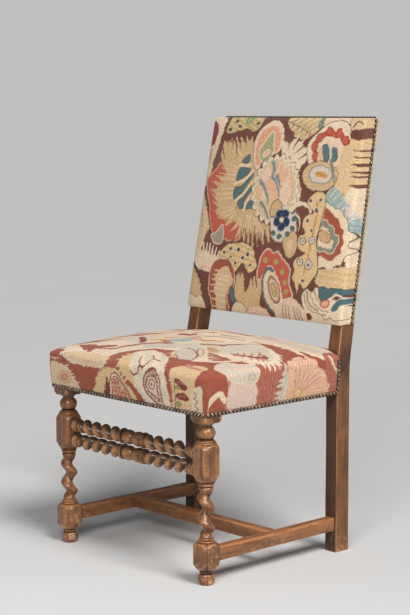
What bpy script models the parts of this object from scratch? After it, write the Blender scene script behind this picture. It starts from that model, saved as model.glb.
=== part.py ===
"""Oak side chair: twist-turned front legs, a double twist stretcher, an H of plain stretchers, raked
rear posts, and a stuffed seat and back, all held by pegged mortise and tenon joints.

Metres, +Z up. The chair faces -Y and stands on z = 0 with its box centred on the Z axis.
"""

import math

import bmesh
import bpy
from mathutils import Matrix, Vector

# Frame
FRAME_WIDTH = 0.530  # across the outer faces of the front legs
REAR_NARROWING = 0.004  # how far each side of the frame comes in by the rear posts
FRAME_DEPTH = 0.455  # front face of the front legs to the rear face of the posts
CHAIR_HEIGHT = 1.000  # floor to the top of the covered back
CLEARANCE = 0.0003  # left between two pieces that touch

# Front legs, turned from a square blank
LEG_BLOCK = 0.049
LEG_CHAMFER = 0.0075
LOWER_BLOCK_SHOULDERS = (0.012, 0.009)  # heights that the lathe rounds at a block's foot and head
UPPER_BLOCK_SHOULDERS = (0.019, 0.013)
FOOT_HEIGHT = 0.0325
FOOT_RADIUS = 0.020
LOWER_BLOCK_HEIGHT = 0.0605
LOWER_COLLAR_HEIGHT = 0.012
LOWER_COLLAR_RADIUS = 0.0175
LEG_TWIST_HEIGHT = 0.101
LEG_TWIST_RADIUS = 0.0143
LEG_TWIST_THROW = 0.0052  # how far the rope's centre stands off the leg's axis
LEG_TWIST_TURNS = 2.25
LEG_TWIST_START = 120.0  # degrees from +X of the rope's centre at its foot
UPPER_COLLAR_HEIGHT = 0.020
UPPER_COLLAR_RADIUS = 0.0165
UPPER_BLOCK_HEIGHT = 0.083
BULB_HEIGHT = 0.0475
BULB_RADIUS = 0.0205
TOP_BLOCK_HEIGHT = 0.083

# Twist stretchers between the front legs
ROPE_RADIUS = 0.0120
ROPE_THROW = 0.0053
ROPE_PITCH = 0.0342
ROPE_SPACING = 0.0365  # between the two rails' centres
ROPE_COLLAR_RADIUS = 0.0178
ROPE_COLLAR_WIDTH = 0.007
ROPE_END_WIDTH = 0.020  # plain turned ring at each end
ROPE_END_RADIUS = 0.0165
BOBBIN_WIDTH = 0.034
BOBBIN_RADIUS = 0.0165
ROPE_TENON_RADIUS = 0.009
ROPE_SIDES = 10
TWIST_STEPS = 8  # rings in one turn of any twist
TWIST_FADE = 0.125  # share of a twist's length in which its throw grows from nothing

# Rear posts
POST_WIDTH = 0.036
POST_DEPTH = 0.043
BEND_HEIGHT = 0.440  # the posts are upright below this and raked above
BACK_RAKE = 0.1055  # how far the top stands behind the bend
BACK_TAPER = 0.010  # how far each post leans in by the top

# Low stretchers, joined as an H
STRETCHER_WIDTH = 0.028
STRETCHER_HEIGHT = 0.030
STRETCHER_LEVEL = 0.066  # height of their centre lines
STRETCHER_CHAMFER = 0.005
STRETCHER_INSET = 0.006  # side stretchers behind the outer face of the legs

# Seat frame and the rails of the back
RAIL_THICKNESS = 0.022
SEAT_RAIL_HEIGHT = 0.068
REAR_RAIL_INSET = 0.019  # rear seat rail behind the front face of the posts
BACK_RAIL_HEIGHT = 0.055
BACK_RAIL_INSET = 0.010
BACK_BOTTOM = 0.529  # lower edge of the covered back

# Tenons and the pegs that hold them
TENON_LENGTH = 0.022
TENON_THICKNESS = 0.008
TENON_SHOULDER = 0.007  # step between a rail's edge and its tenon
STRETCHER_TENON = 0.010
CROSS_TENON_LENGTH = 0.018
PEG_RADIUS = 0.0035
PEG_DEPTH = 0.031
PEG_SIDES = 8

# Upholstery
WEB_WIDTH = 0.050
WEB_THICKNESS = 0.0014
LONG_WEBS = 4
CROSS_WEBS = 3
WEB_LAP = 0.014  # length of a web that lies on a rail
HESSIAN_THICKNESS = 0.0010
HESSIAN_INSET = 0.004
COVER_THICKNESS = 0.0025
SEAT_BULGE = 0.0065  # how far the seat's sides swell between nails and shoulder
SEAT_SHOULDER = 0.014  # seat's edge above the rails, where it rounds over
SEAT_EDGE_RISE = 0.018  # height of that rounding
SEAT_CROWN = 0.032  # swell of the seat's middle above its edge
SEAT_HEM = 0.0015  # cover's lower edge above the lower edge of the rails
SEAT_ROUNDING = 10  # power of the seat's rounding: more is a tighter edge
BACK_ROUNDING = 12
NOTCH_MARGIN = 0.008  # how far the notches round the posts are cut past the cloth
BACK_PAD = 0.010  # stuffing at the edge of the back
BACK_CROWN = 0.010  # its swell at the middle
BACK_WRAP = 0.034  # how far the cover goes round the posts
REAR_PAD = 0.006
REAR_CROWN = 0.003
REAR_INSET = 0.002

# Levels and planes that follow from these
HALF_WIDTH = FRAME_WIDTH / 2
LEG_TOP = (
    FOOT_HEIGHT
    + LOWER_BLOCK_HEIGHT
    + LOWER_COLLAR_HEIGHT
    + LEG_TWIST_HEIGHT
    + UPPER_COLLAR_HEIGHT
    + UPPER_BLOCK_HEIGHT
    + BULB_HEIGHT
    + TOP_BLOCK_HEIGHT
)
UPPER_BLOCK_LEVEL = LEG_TOP - TOP_BLOCK_HEIGHT - BULB_HEIGHT - UPPER_BLOCK_HEIGHT / 2
RAIL_BOTTOM = LEG_TOP - SEAT_RAIL_HEIGHT
RAIL_MIDDLE = LEG_TOP - SEAT_RAIL_HEIGHT / 2
COVER_GAP = CLEARANCE + COVER_THICKNESS
POST_TOP = CHAIR_HEIGHT - COVER_GAP
SEAT_CORNER = LEG_CHAMFER / 3  # the seat's corners are drawn in over the chamfer of the legs
FRONT_PROUD = COVER_GAP + SEAT_BULGE
OUTER_TOP = POST_TOP - REAR_INSET
OUTER_RAKE = BACK_RAKE * (OUTER_TOP - BEND_HEIGHT) / (CHAIR_HEIGHT - BEND_HEIGHT)
REAR_PROUD = OUTER_RAKE + CLEARANCE + REAR_PAD
FRONT_FACE = (FRONT_PROUD - REAR_PROUD - FRAME_DEPTH) / 2
POST_FACE = FRONT_FACE + FRAME_DEPTH - POST_DEPTH
POST_REAR = POST_FACE + POST_DEPTH
SEAT_REAR = POST_FACE + REAR_RAIL_INSET + RAIL_THICKNESS
LEG_INNER = HALF_WIDTH - LEG_BLOCK
LEG_REAR = FRONT_FACE + LEG_BLOCK
POST_INNER = HALF_WIDTH - POST_WIDTH
LEG_AXIS_X = HALF_WIDTH - LEG_BLOCK / 2
LEG_AXIS_Y = FRONT_FACE + LEG_BLOCK / 2
WEB_LEVEL = LEG_TOP + CLEARANCE + WEB_THICKNESS / 2
WEB_LIFT = WEB_THICKNESS + CLEARANCE
HESSIAN_BOTTOM = WEB_LEVEL + WEB_LIFT + WEB_THICKNESS / 2 + CLEARANCE
HESSIAN_TOP = HESSIAN_BOTTOM + HESSIAN_THICKNESS
SEAT_HEM_LEVEL = RAIL_BOTTOM + SEAT_HEM
SEAT_EDGE_LEVEL = LEG_TOP + SEAT_SHOULDER
SWELL_WAIST = ((0.3, 0.8), (0.6, 1.0))  # share of the side's height, share of the swell there
SWELL_SHOULDER = 0.9  # share of the swell that is left at the seat's edge

SIDES = (("left", -1), ("right", 1))

parts = bpy.data.collections.new("oak_side_chair")
cutters = bpy.data.collections.new("cutters")
pockets = {}


def clear_scene():
    """Empties the scene and links the two collections."""
    for old in list(bpy.data.objects):
        bpy.data.objects.remove(old, do_unlink=True)
    for group in (parts, cutters):
        bpy.context.scene.collection.children.link(group)


def make_material(name, colour, roughness):
    """A plain Principled material."""
    material = bpy.data.materials.new(name)
    material.use_nodes = True
    shader = material.node_tree.nodes["Principled BSDF"]
    shader.inputs["Base Color"].default_value = (*colour, 1.0)
    shader.inputs["Roughness"].default_value = roughness
    shader.inputs["Metallic"].default_value = 0.0
    return material


clear_scene()
OAK = make_material("waxed_oak", (0.235, 0.115, 0.055), 0.42)
PEG_OAK = make_material("riven_oak_peg", (0.160, 0.080, 0.040), 0.55)
WEBBING = make_material("jute_webbing", (0.420, 0.330, 0.210), 0.90)
HESSIAN = make_material("hessian", (0.470, 0.370, 0.240), 0.95)
STUFFING = make_material("horsehair_stuffing", (0.110, 0.080, 0.060), 0.95)
SEAT_TAPESTRY = make_material("seat_tapestry", (0.450, 0.170, 0.110), 0.95)
BACK_TAPESTRY = make_material("back_tapestry", (0.420, 0.280, 0.180), 0.95)
BACKING = make_material("outside_back_linen", (0.620, 0.560, 0.450), 0.95)


def narrowed(point):
    """Where a point of a square-planned chair goes once the frame comes in towards the rear."""
    share = (point.y - FRONT_FACE) / FRAME_DEPTH
    return Vector((point.x * (1 - share * REAR_NARROWING / HALF_WIDTH), point.y, point.z))


def mapped(body, rule):
    """Moves every point of a body by a rule."""
    for vert in body.verts:
        vert.co = rule(vert.co)
    return body


def add_object(name, body, group, material=None):
    """Turns a bmesh of the square-planned chair into a named object of one collection."""
    mapped(body, narrowed)
    bmesh.ops.recalc_face_normals(body, faces=body.faces)
    mesh = bpy.data.meshes.new(name)
    body.to_mesh(mesh)
    body.free()
    mesh.shade_smooth()
    mesh.set_sharp_from_angle(angle=math.radians(35))
    made = bpy.data.objects.new(name, mesh)
    if material:
        mesh.materials.append(material)
    group.objects.link(made)
    return made


def brick(low, high, cuts=((), (), ())):
    """A box between two corners, with extra edge loops at the given shares along X, Y and Z."""
    body = bmesh.new()
    bmesh.ops.create_cube(body, size=1.0)
    for axis, shares in enumerate(cuts):
        normal = Vector((0, 0, 0))
        normal[axis] = 1.0
        for share in shares:
            everything = body.verts[:] + body.edges[:] + body.faces[:]
            place = normal * (share - 0.5)
            bmesh.ops.bisect_plane(body, geom=everything, plane_co=place, plane_no=normal)
    low = Vector(low)
    size = Vector(high) - low
    for vert in body.verts:
        vert.co = [low[i] + (vert.co[i] + 0.5) * size[i] for i in range(3)]
    return body


def leaned(point):
    """Where a point of an upright chair goes once the back is raked and narrowed above the bend."""
    share = max(point.z - BEND_HEIGHT, 0.0) / (CHAIR_HEIGHT - BEND_HEIGHT)
    across = point.x * (1 - share * BACK_TAPER / HALF_WIDTH)
    return Vector((across, point.y + share * BACK_RAKE, point.z))


def mirrored(low, high, side):
    """The two corners of a box on the right-hand side, or of its twin on the left."""
    if side > 0:
        return low, high
    return (-high[0], low[1], low[2]), (-low[0], high[1], high[2])


def merge(target, body):
    """Adds one body's faces to another bmesh."""
    shell = bpy.data.meshes.new("shell")
    body.to_mesh(shell)
    body.free()
    target.from_mesh(shell)
    bpy.data.meshes.remove(shell)


def cut_later(piece, kind, body):
    """Keeps a cutter for a piece: its mortises and its peg holes are cut one kind at a time."""
    bmesh.ops.recalc_face_normals(body, faces=body.faces)
    merge(pockets.setdefault((piece, kind), bmesh.new()), body)


def boolean(piece, name, body, operation):
    """Joins a hidden body to a piece, or cuts the piece with it."""
    tool = add_object(name, body, cutters)
    tool.hide_render = True
    tool.display_type = "WIRE"
    modifier = piece.modifiers.new(name, "BOOLEAN")
    modifier.operation = operation
    modifier.solver = "EXACT"
    modifier.object = tool


def cut_pockets():
    """Cuts every mortise, bore and peg hole that the joints asked for."""
    for kind in ("mortise", "peg_hole"):
        for piece, wanted in list(pockets):
            if wanted == kind:
                body = pockets.pop((piece, wanted))
                boolean(parts.objects[piece], f"{piece}_{kind}", body, "DIFFERENCE")


def grown(low, high, by):
    """A box's two corners, moved out all round."""
    return [value - by for value in low], [value + by for value in high]


def tenon(piece, host, name, low, high, rule=None):
    """Joins a tenon to a piece and asks for the mortise round it in the host."""
    body = brick(low, high)
    mortise = brick(*grown(low, high, CLEARANCE))
    if rule:
        mapped(body, rule)
        mapped(mortise, rule)
    boolean(piece, name, body, "UNION")
    cut_later(host, "mortise", mortise)


def rod(start, direction, length, radius, sides=PEG_SIDES):
    """A straight many-sided rod from a point."""
    turn = Vector((0, 0, 1)).rotation_difference(Vector(direction)).to_matrix().to_4x4()
    place = Matrix.Translation(start) @ turn @ Matrix.Translation((0, 0, length / 2))
    body = bmesh.new()
    bmesh.ops.create_cone(
        body,
        cap_ends=True,
        segments=sides,
        radius1=radius,
        radius2=radius,
        depth=length,
        matrix=place,
    )
    return body


def peg(name, hosts, start, direction, depth=PEG_DEPTH, rule=None):
    """Drives a riven peg in from a face, through every host."""
    start = Vector(start)
    direction = Vector(direction)
    body = rod(start + direction * CLEARANCE, direction, depth, PEG_RADIUS)
    if rule:
        mapped(body, rule)
    add_object(name, body, parts, PEG_OAK)
    for host in hosts:
        mouth = start - direction * PEG_RADIUS
        reach = depth + PEG_RADIUS + 2 * CLEARANCE
        hole = rod(mouth, direction, reach, PEG_RADIUS + CLEARANCE)
        cut_later(host, "peg_hole", mapped(hole, rule) if rule else hole)


def loft(rings):
    """A closed body through rings of equal count, with a flat cap at each end."""
    body = bmesh.new()
    loops = [[body.verts.new(point) for point in ring] for ring in rings]
    for lower, upper in zip(loops, loops[1:]):
        for i, corner in enumerate(lower):
            previous = i - 1
            body.faces.new((lower[previous], corner, upper[i], upper[previous]))
    body.faces.new(loops[0])
    body.faces.new(loops[-1])
    return body


def block_reach(angle):
    """Distance from a square block's axis to its chamfered outline in one direction."""
    half = LEG_BLOCK / 2
    across = abs(math.cos(angle))
    along = abs(math.sin(angle))
    return min(half / max(across, along), (2 * half - LEG_CHAMFER) / (across + along))


def leg_angles():
    """Ring directions that put points on both edges of every chamfer."""
    half = LEG_BLOCK / 2
    edge = math.atan2(half - LEG_CHAMFER, half)
    quarter = (edge / 3, edge, math.pi / 2 - edge, math.pi / 2 - edge / 3)
    return [turn * math.pi / 2 + angle for turn in range(4) for angle in quarter]


def turned(base, height, radius, shape):
    """Rings of a turned stretch: each point of its shape is a share of its height and radius."""
    return [(base + share * height, radius * swell, 0.0, 0.0) for share, swell in shape]


def square_block(base, height, shoulders):
    """Rings of a square block whose two shoulders the lathe has rounded."""
    shape = ((0.0, 0.56), (0.3, 0.74), (0.65, 0.83), (1.0, 0.87))
    corner = LEG_BLOCK * math.sqrt(0.5)
    lower, upper = shoulders
    rising = [(base + share * lower, corner * swell) for share, swell in shape]
    falling = [(base + height - share * upper, corner * swell) for share, swell in reversed(shape)]
    return [(level, radius, 0.0, 0.0) for level, radius in rising + falling]


def twist_rings(base, height, radius, throw, turns, hand, start=0.0):
    """Rings of a barley twist: a circle whose centre winds round the axis and dies away at the ends."""
    count = round(turns * TWIST_STEPS)
    rings = []
    for i in range(count + 1):
        share = i / count
        fade = min(1.0, share / TWIST_FADE, (1 - share) / TWIST_FADE)
        angle = math.radians(start) + hand * 2 * math.pi * turns * share
        rings.append((base + share * height, radius, throw * fade, angle))
    return rings


FOOT_SHAPE = (
    (0.0, 0.84),
    (0.08, 0.94),
    (0.3, 0.97),
    (0.5, 0.94),
    (0.64, 0.82),
    (0.73, 0.64),
    (0.8, 0.62),
    (0.86, 0.74),
    (0.95, 0.74),
)
LOWER_COLLAR_SHAPE = ((0.1, 0.82), (0.3, 1.0), (0.5, 0.84), (0.7, 0.92), (0.9, 0.76))
UPPER_COLLAR_SHAPE = (
    (0.08, 0.78),
    (0.2, 0.88),
    (0.32, 0.92),
    (0.46, 0.88),
    (0.56, 0.78),
    (0.68, 1.0),
    (0.82, 1.0),
    (0.92, 0.86),
)
BULB_SHAPE = (
    (0.03, 1.03),
    (0.1, 1.03),
    (0.15, 0.84),
    (0.24, 0.77),
    (0.31, 0.87),
    (0.42, 0.97),
    (0.54, 1.0),
    (0.66, 0.96),
    (0.76, 0.85),
    (0.83, 0.71),
    (0.93, 0.68),
)


def leg_rings():
    """Every ring of a front leg from the floor up: level, radius, throw and angle of throw."""
    rings = turned(0.0, FOOT_HEIGHT, FOOT_RADIUS, FOOT_SHAPE)
    level = FOOT_HEIGHT
    rings += square_block(level, LOWER_BLOCK_HEIGHT, LOWER_BLOCK_SHOULDERS)
    level += LOWER_BLOCK_HEIGHT
    rings += turned(level, LOWER_COLLAR_HEIGHT, LOWER_COLLAR_RADIUS, LOWER_COLLAR_SHAPE)
    level += LOWER_COLLAR_HEIGHT
    rings += twist_rings(
        level,
        LEG_TWIST_HEIGHT,
        LEG_TWIST_RADIUS,
        LEG_TWIST_THROW,
        LEG_TWIST_TURNS,
        -1,
        LEG_TWIST_START,
    )
    level += LEG_TWIST_HEIGHT
    rings += turned(level, UPPER_COLLAR_HEIGHT, UPPER_COLLAR_RADIUS, UPPER_COLLAR_SHAPE)
    level += UPPER_COLLAR_HEIGHT
    rings += square_block(level, UPPER_BLOCK_HEIGHT, UPPER_BLOCK_SHOULDERS)
    level += UPPER_BLOCK_HEIGHT
    rings += turned(level, BULB_HEIGHT, BULB_RADIUS, BULB_SHAPE)
    level += BULB_HEIGHT
    neck = BULB_RADIUS * BULB_SHAPE[-1][1]
    corner = LEG_BLOCK * math.sqrt(0.5)
    top_block = ((level, neck), (level, corner), (LEG_TOP, corner))
    return rings + [(height, radius, 0.0, 0.0) for height, radius in top_block]


def front_leg(name, side):
    """A front leg, as a lathe makes it: the smaller of the square blank and the turned profile."""
    axis = Vector((side * LEG_AXIS_X, LEG_AXIS_Y, 0))
    angles = leg_angles()
    outlines = []
    for level, radius, throw, lead in leg_rings():
        centre = axis + Vector((throw * math.cos(lead), throw * math.sin(lead), level))
        reaches = [min(radius, block_reach(angle)) for angle in angles]
        spokes = [Vector((math.cos(angle), math.sin(angle), 0)) for angle in angles]
        outlines.append([centre + spoke * reach for spoke, reach in zip(spokes, reaches)])
    return add_object(name, loft(outlines), parts, OAK)


def rope_half(hand):
    """One half of a twist stretcher, from the shoulder of its tenon to its middle."""
    end_shape = ((0.0, 0.8), (0.1, 1.0), (0.62, 1.0), (0.72, 0.86), (0.82, 0.96), (0.95, 0.8))
    collar_shape = ((0.0, 0.7), (0.15, 1.0), (0.85, 1.0), (1.0, 0.7))
    bobbin_shape = ((0.06, 0.78), (0.25, 0.95), (0.5, 1.0), (0.75, 0.95), (0.94, 0.78))
    run = LEG_INNER - CLEARANCE - ROPE_END_WIDTH - ROPE_COLLAR_WIDTH - BOBBIN_WIDTH
    level = CLEARANCE
    rings = turned(level, ROPE_END_WIDTH, ROPE_END_RADIUS, end_shape)
    level += ROPE_END_WIDTH
    rings += twist_rings(level, run, ROPE_RADIUS, ROPE_THROW, run / ROPE_PITCH, hand)
    level += run
    rings += turned(level, ROPE_COLLAR_WIDTH, ROPE_COLLAR_RADIUS, collar_shape)
    level += ROPE_COLLAR_WIDTH
    return rings + turned(level, BOBBIN_WIDTH, BOBBIN_RADIUS, bobbin_shape)


def twist_stretcher(name, level, hand):
    """A turned rail between the front legs: two twists of one hand either side of two bobbins."""
    stub = [(-TENON_LENGTH, ROPE_TENON_RADIUS, 0.0, 0.0), (0.0, ROPE_TENON_RADIUS, 0.0, 0.0)]
    half = stub + rope_half(hand)
    whole = [(-LEG_INNER + run, radius, throw, lead) for run, radius, throw, lead in half]
    whole += [(LEG_INNER - run, radius, throw, -lead) for run, radius, throw, lead in reversed(half)]
    spokes = [2 * math.pi * (i + 0.5) / ROPE_SIDES for i in range(ROPE_SIDES)]
    outlines = []
    for run, radius, throw, lead in whole:
        centre = Vector((run, LEG_AXIS_Y, level)) + throw * Vector((0, -math.cos(lead), math.sin(lead)))
        outlines.append(
            [centre + radius * Vector((0, -math.cos(spoke), math.sin(spoke))) for spoke in spokes]
        )
    add_object(name, loft(outlines), parts, OAK)


def twist_joint(name, side_name, side, level):
    """Bores a front leg for a twist stretcher's round tenon, and pegs it from the front."""
    leg = f"front_leg_{side_name}"
    mouth = Vector((side * (LEG_INNER - CLEARANCE), LEG_AXIS_Y, level))
    bore = rod(
        mouth,
        (side, 0, 0),
        TENON_LENGTH + 2 * CLEARANCE,
        (ROPE_TENON_RADIUS + CLEARANCE) / math.cos(math.pi / ROPE_SIDES),
        ROPE_SIDES,
    )
    cut_later(leg, "mortise", bore)
    face = (side * (LEG_INNER + TENON_LENGTH / 2), FRONT_FACE, level)
    peg(f"peg_{name}_{side_name}", (leg, name), face, (0, 1, 0))


def front_stretchers():
    """Both twist stretchers with their four joints."""
    for label, step, hand in (("upper", 0.5, -1), ("lower", -0.5, 1)):
        name = f"twist_stretcher_{label}"
        level = UPPER_BLOCK_LEVEL + step * ROPE_SPACING
        twist_stretcher(name, level, hand)
        for side_name, side in SIDES:
            twist_joint(name, side_name, side, level)


def post_box(by=0.0):
    """The corners of an upright right-hand post, grown all round for a cutter."""
    low = (POST_INNER, POST_FACE, 0.0)
    return grown(low, (HALF_WIDTH, POST_REAR, POST_TOP), by)


def post_body(side, by=0.0):
    """A rear post with its bend, or the shape of the notch that it needs."""
    low, high = mirrored(*post_box(by), side)
    bend = (BEND_HEIGHT - low[2]) / (high[2] - low[2])
    return mapped(brick(low, high, ((), (), (bend,))), leaned)


def rear_posts():
    """Both rear posts, each one stick from the floor to the crest."""
    for side_name, side in SIDES:
        add_object(f"rear_post_{side_name}", post_body(side), parts, OAK)


def stretcher_body(low, high, along):
    """A plain stretcher whose two upper edges are chamfered; along is the axis that it runs on."""
    body = brick(low, high)
    top = high[2] - CLEARANCE
    edges = []
    for edge in body.edges:
        start, end = (vert.co for vert in edge.verts)
        runs_along = abs(end[along] - start[along]) > STRETCHER_WIDTH
        if runs_along and min(start.z, end.z) > top:
            edges.append(edge)
    bmesh.ops.bevel(body, geom=edges, offset=STRETCHER_CHAMFER, segments=1, affect="EDGES")
    return body


def side_stretchers():
    """The two low rails from the front legs' lower blocks to the rear posts."""
    outer = HALF_WIDTH - STRETCHER_INSET
    inner = outer - STRETCHER_WIDTH
    middle = (outer + inner) / 2
    half_height = STRETCHER_HEIGHT / 2
    tongue = STRETCHER_TENON / 2
    tenon_height = half_height - TENON_SHOULDER / 2
    for side_name, side in SIDES:
        name = f"side_stretcher_{side_name}"
        leg = f"front_leg_{side_name}"
        post = f"rear_post_{side_name}"
        low = (inner, LEG_REAR + CLEARANCE, STRETCHER_LEVEL - half_height)
        high = (outer, POST_FACE - CLEARANCE, STRETCHER_LEVEL + half_height)
        rail = add_object(name, stretcher_body(*mirrored(low, high, side), 1), parts, OAK)
        ends = ((leg, LEG_REAR - TENON_LENGTH, LEG_REAR + TENON_LENGTH),)
        ends += ((post, POST_FACE - TENON_LENGTH, POST_FACE + TENON_LENGTH),)
        for host, start, end in ends:
            low = (middle - tongue, start, STRETCHER_LEVEL - tenon_height)
            high = (middle + tongue, end, STRETCHER_LEVEL + tenon_height)
            tenon(rail, host, f"{name}_tenon_in_{host}", *mirrored(low, high, side))
        for host, place in (
            (leg, LEG_REAR - TENON_LENGTH / 2),
            (post, POST_FACE + TENON_LENGTH / 2),
        ):
            face = (side * HALF_WIDTH, place, STRETCHER_LEVEL)
            peg(f"peg_{name}_in_{host}", (host, name), face, (-side, 0, 0))


def cross_stretcher():
    """The low rail that ties the side stretchers together at their middles."""
    name = "cross_stretcher"
    reach = HALF_WIDTH - STRETCHER_INSET - STRETCHER_WIDTH
    middle = (LEG_REAR + POST_FACE) / 2
    half_width = STRETCHER_WIDTH / 2
    half_height = STRETCHER_HEIGHT / 2
    low = (CLEARANCE - reach, middle - half_width, STRETCHER_LEVEL - half_height)
    high = (reach - CLEARANCE, middle + half_width, STRETCHER_LEVEL + half_height)
    rail = add_object(name, stretcher_body(low, high, 0), parts, OAK)
    tongue = STRETCHER_TENON / 2
    tenon_width = half_width - TENON_SHOULDER / 2
    for side_name, side in SIDES:
        host = f"side_stretcher_{side_name}"
        low = (reach - CROSS_TENON_LENGTH, middle - tenon_width, STRETCHER_LEVEL - tongue)
        high = (reach + CROSS_TENON_LENGTH, middle + tenon_width, STRETCHER_LEVEL + tongue)
        tenon(rail, host, f"cross_tenon_{side_name}", *mirrored(low, high, side))
        face = (side * (reach + CROSS_TENON_LENGTH / 2), middle, STRETCHER_LEVEL + half_height)
        depth = half_height + tongue + TENON_SHOULDER / 2
        peg(f"peg_cross_stretcher_{side_name}", (host, name), face, (0, 0, -1), depth)


def across_rail(name, inner, face, bottom, top, hosts, rule=None):
    """A rail between two uprights, with a tenon in each; face is its front plane."""
    low = (CLEARANCE - inner, face, bottom)
    high = (inner - CLEARANCE, face + RAIL_THICKNESS, top)
    body = brick(low, high)
    rail = add_object(name, mapped(body, rule) if rule else body, parts, OAK)
    middle = face + RAIL_THICKNESS / 2
    tongue = TENON_THICKNESS / 2
    for side_name, side in SIDES:
        host = f"{hosts}_{side_name}"
        low = (inner - TENON_LENGTH, middle - tongue, bottom + TENON_SHOULDER)
        high = (inner + TENON_LENGTH, middle + tongue, top - TENON_SHOULDER)
        tenon(rail, host, f"{name}_tenon_{side_name}", *mirrored(low, high, side), rule)


def front_rail():
    """The front seat rail, between the top blocks of the front legs."""
    name = "seat_rail_front"
    across_rail(name, LEG_INNER, FRONT_FACE, RAIL_BOTTOM, LEG_TOP, "front_leg")
    for side_name, side in SIDES:
        face = (side * (LEG_INNER + TENON_LENGTH / 2), FRONT_FACE, RAIL_MIDDLE)
        peg(f"peg_{name}_{side_name}", (f"front_leg_{side_name}", name), face, (0, 1, 0))


def rear_rail():
    """The rear seat rail, between the posts."""
    name = "seat_rail_rear"
    plane = POST_FACE + REAR_RAIL_INSET
    across_rail(name, POST_INNER, plane, RAIL_BOTTOM, LEG_TOP, "rear_post")
    depth = POST_REAR - plane
    for side_name, side in SIDES:
        face = (side * (POST_INNER + TENON_LENGTH / 2), POST_REAR, RAIL_MIDDLE)
        peg(f"peg_{name}_{side_name}", (f"rear_post_{side_name}", name), face, (0, -1, 0), depth)


def side_rails():
    """The side seat rails, flush with the outer faces of the legs and posts."""
    for side_name, side in SIDES:
        name = f"seat_rail_{side_name}"
        leg = f"front_leg_{side_name}"
        post = f"rear_post_{side_name}"
        low = (HALF_WIDTH - RAIL_THICKNESS, LEG_REAR + CLEARANCE, RAIL_BOTTOM)
        high = (HALF_WIDTH, POST_FACE - CLEARANCE, LEG_TOP)
        rail = add_object(name, brick(*mirrored(low, high, side)), parts, OAK)
        middle = HALF_WIDTH - RAIL_THICKNESS / 2
        tongue = TENON_THICKNESS / 2
        for host, plane in ((leg, LEG_REAR), (post, POST_FACE)):
            low = (middle - tongue, plane - TENON_LENGTH, RAIL_BOTTOM + TENON_SHOULDER)
            high = (middle + tongue, plane + TENON_LENGTH, LEG_TOP - TENON_SHOULDER)
            tenon(rail, host, f"{name}_tenon_in_{host}", *mirrored(low, high, side))
        for host, place in (
            (leg, LEG_REAR - TENON_LENGTH / 2),
            (post, POST_FACE + TENON_LENGTH / 2),
        ):
            face = (side * HALF_WIDTH, place, RAIL_MIDDLE)
            depth = RAIL_THICKNESS + CLEARANCE
            peg(f"peg_{name}_in_{host}", (host, name), face, (-side, 0, 0), depth)


def back_rails():
    """The two rails of the back, leaning with the posts and pegged from behind."""
    plane = POST_FACE + BACK_RAIL_INSET
    lower = BACK_BOTTOM + COVER_GAP
    for label, bottom in (("lower", lower), ("crest", POST_TOP - BACK_RAIL_HEIGHT)):
        name = f"back_rail_{label}"
        top = bottom + BACK_RAIL_HEIGHT
        across_rail(name, POST_INNER, plane, bottom, top, "rear_post", leaned)
        for side_name, side in SIDES:
            host = f"rear_post_{side_name}"
            face = (side * (POST_INNER + TENON_LENGTH / 2), POST_REAR, (bottom + top) / 2)
            peg(f"peg_{name}_{side_name}", (host, name), face, (0, -1, 0), PEG_DEPTH, leaned)


def web(name, axis, offset, start, end, crossings, first_over):
    """A jute strip that lies on two rails and passes over and under the strips that cross it."""
    half = WEB_WIDTH / 2
    knots = [(start, 0.0), (start + WEB_LAP, 0.0)]
    over = first_over
    for crossing in crossings:
        level = WEB_LIFT if over else 0.0
        knots += [(crossing - half - CLEARANCE, level), (crossing + half + CLEARANCE, level)]
        over = not over
    knots += [(end - WEB_LAP, 0.0), (end, 0.0)]
    count = len(knots) - 1
    shares = [(i / count) for i in range(1, count)]
    body = brick((0.0, -half, -0.5), (count, half, 0.5), (shares, (), ()))

    def lay(point):
        run, level = knots[round(point.x)]
        height = WEB_LEVEL + level + point.z * WEB_THICKNESS
        if axis == 0:
            return Vector((run, offset + point.y, height))
        return Vector((offset - point.y, run, height))

    add_object(name, mapped(body, lay), parts, WEBBING)


def seat_webbing():
    """Strips from front to back, woven with strips from side to side."""
    clear_half = POST_INNER - CLEARANCE
    long_step = 2 * clear_half / LONG_WEBS
    long_places = [(i + 0.5) * long_step - clear_half for i in range(LONG_WEBS)]
    front = FRONT_FACE + HESSIAN_INSET
    rear = SEAT_REAR - HESSIAN_INSET
    open_front = LEG_REAR
    cross_step = (POST_FACE - open_front) / CROSS_WEBS
    cross_places = [open_front + (i + 0.5) * cross_step for i in range(CROSS_WEBS)]
    for i, place in enumerate(long_places):
        web(f"seat_web_long_{i + 1}", 1, place, front, rear, cross_places, i % 2 == 0)
    side = HALF_WIDTH - HESSIAN_INSET
    for i, place in enumerate(cross_places):
        web(f"seat_web_cross_{i + 1}", 0, place, -side, side, long_places, i % 2 == 1)


def side_swell(level):
    """How far the seat's sides stand out at a level: drawn in at the hem, fullest at the waist."""
    knots = ((0.0, 0.0), *SWELL_WAIST, (1.0, SWELL_SHOULDER))
    share = (level - SEAT_HEM_LEVEL) / (SEAT_EDGE_LEVEL - SEAT_HEM_LEVEL)
    for (low, start), (high, end) in zip(knots, knots[1:]):
        if share <= high:
            return SEAT_BULGE * (start + (end - start) * (share - low) / (high - low))
    return SEAT_BULGE * knots[-1][1]


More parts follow.
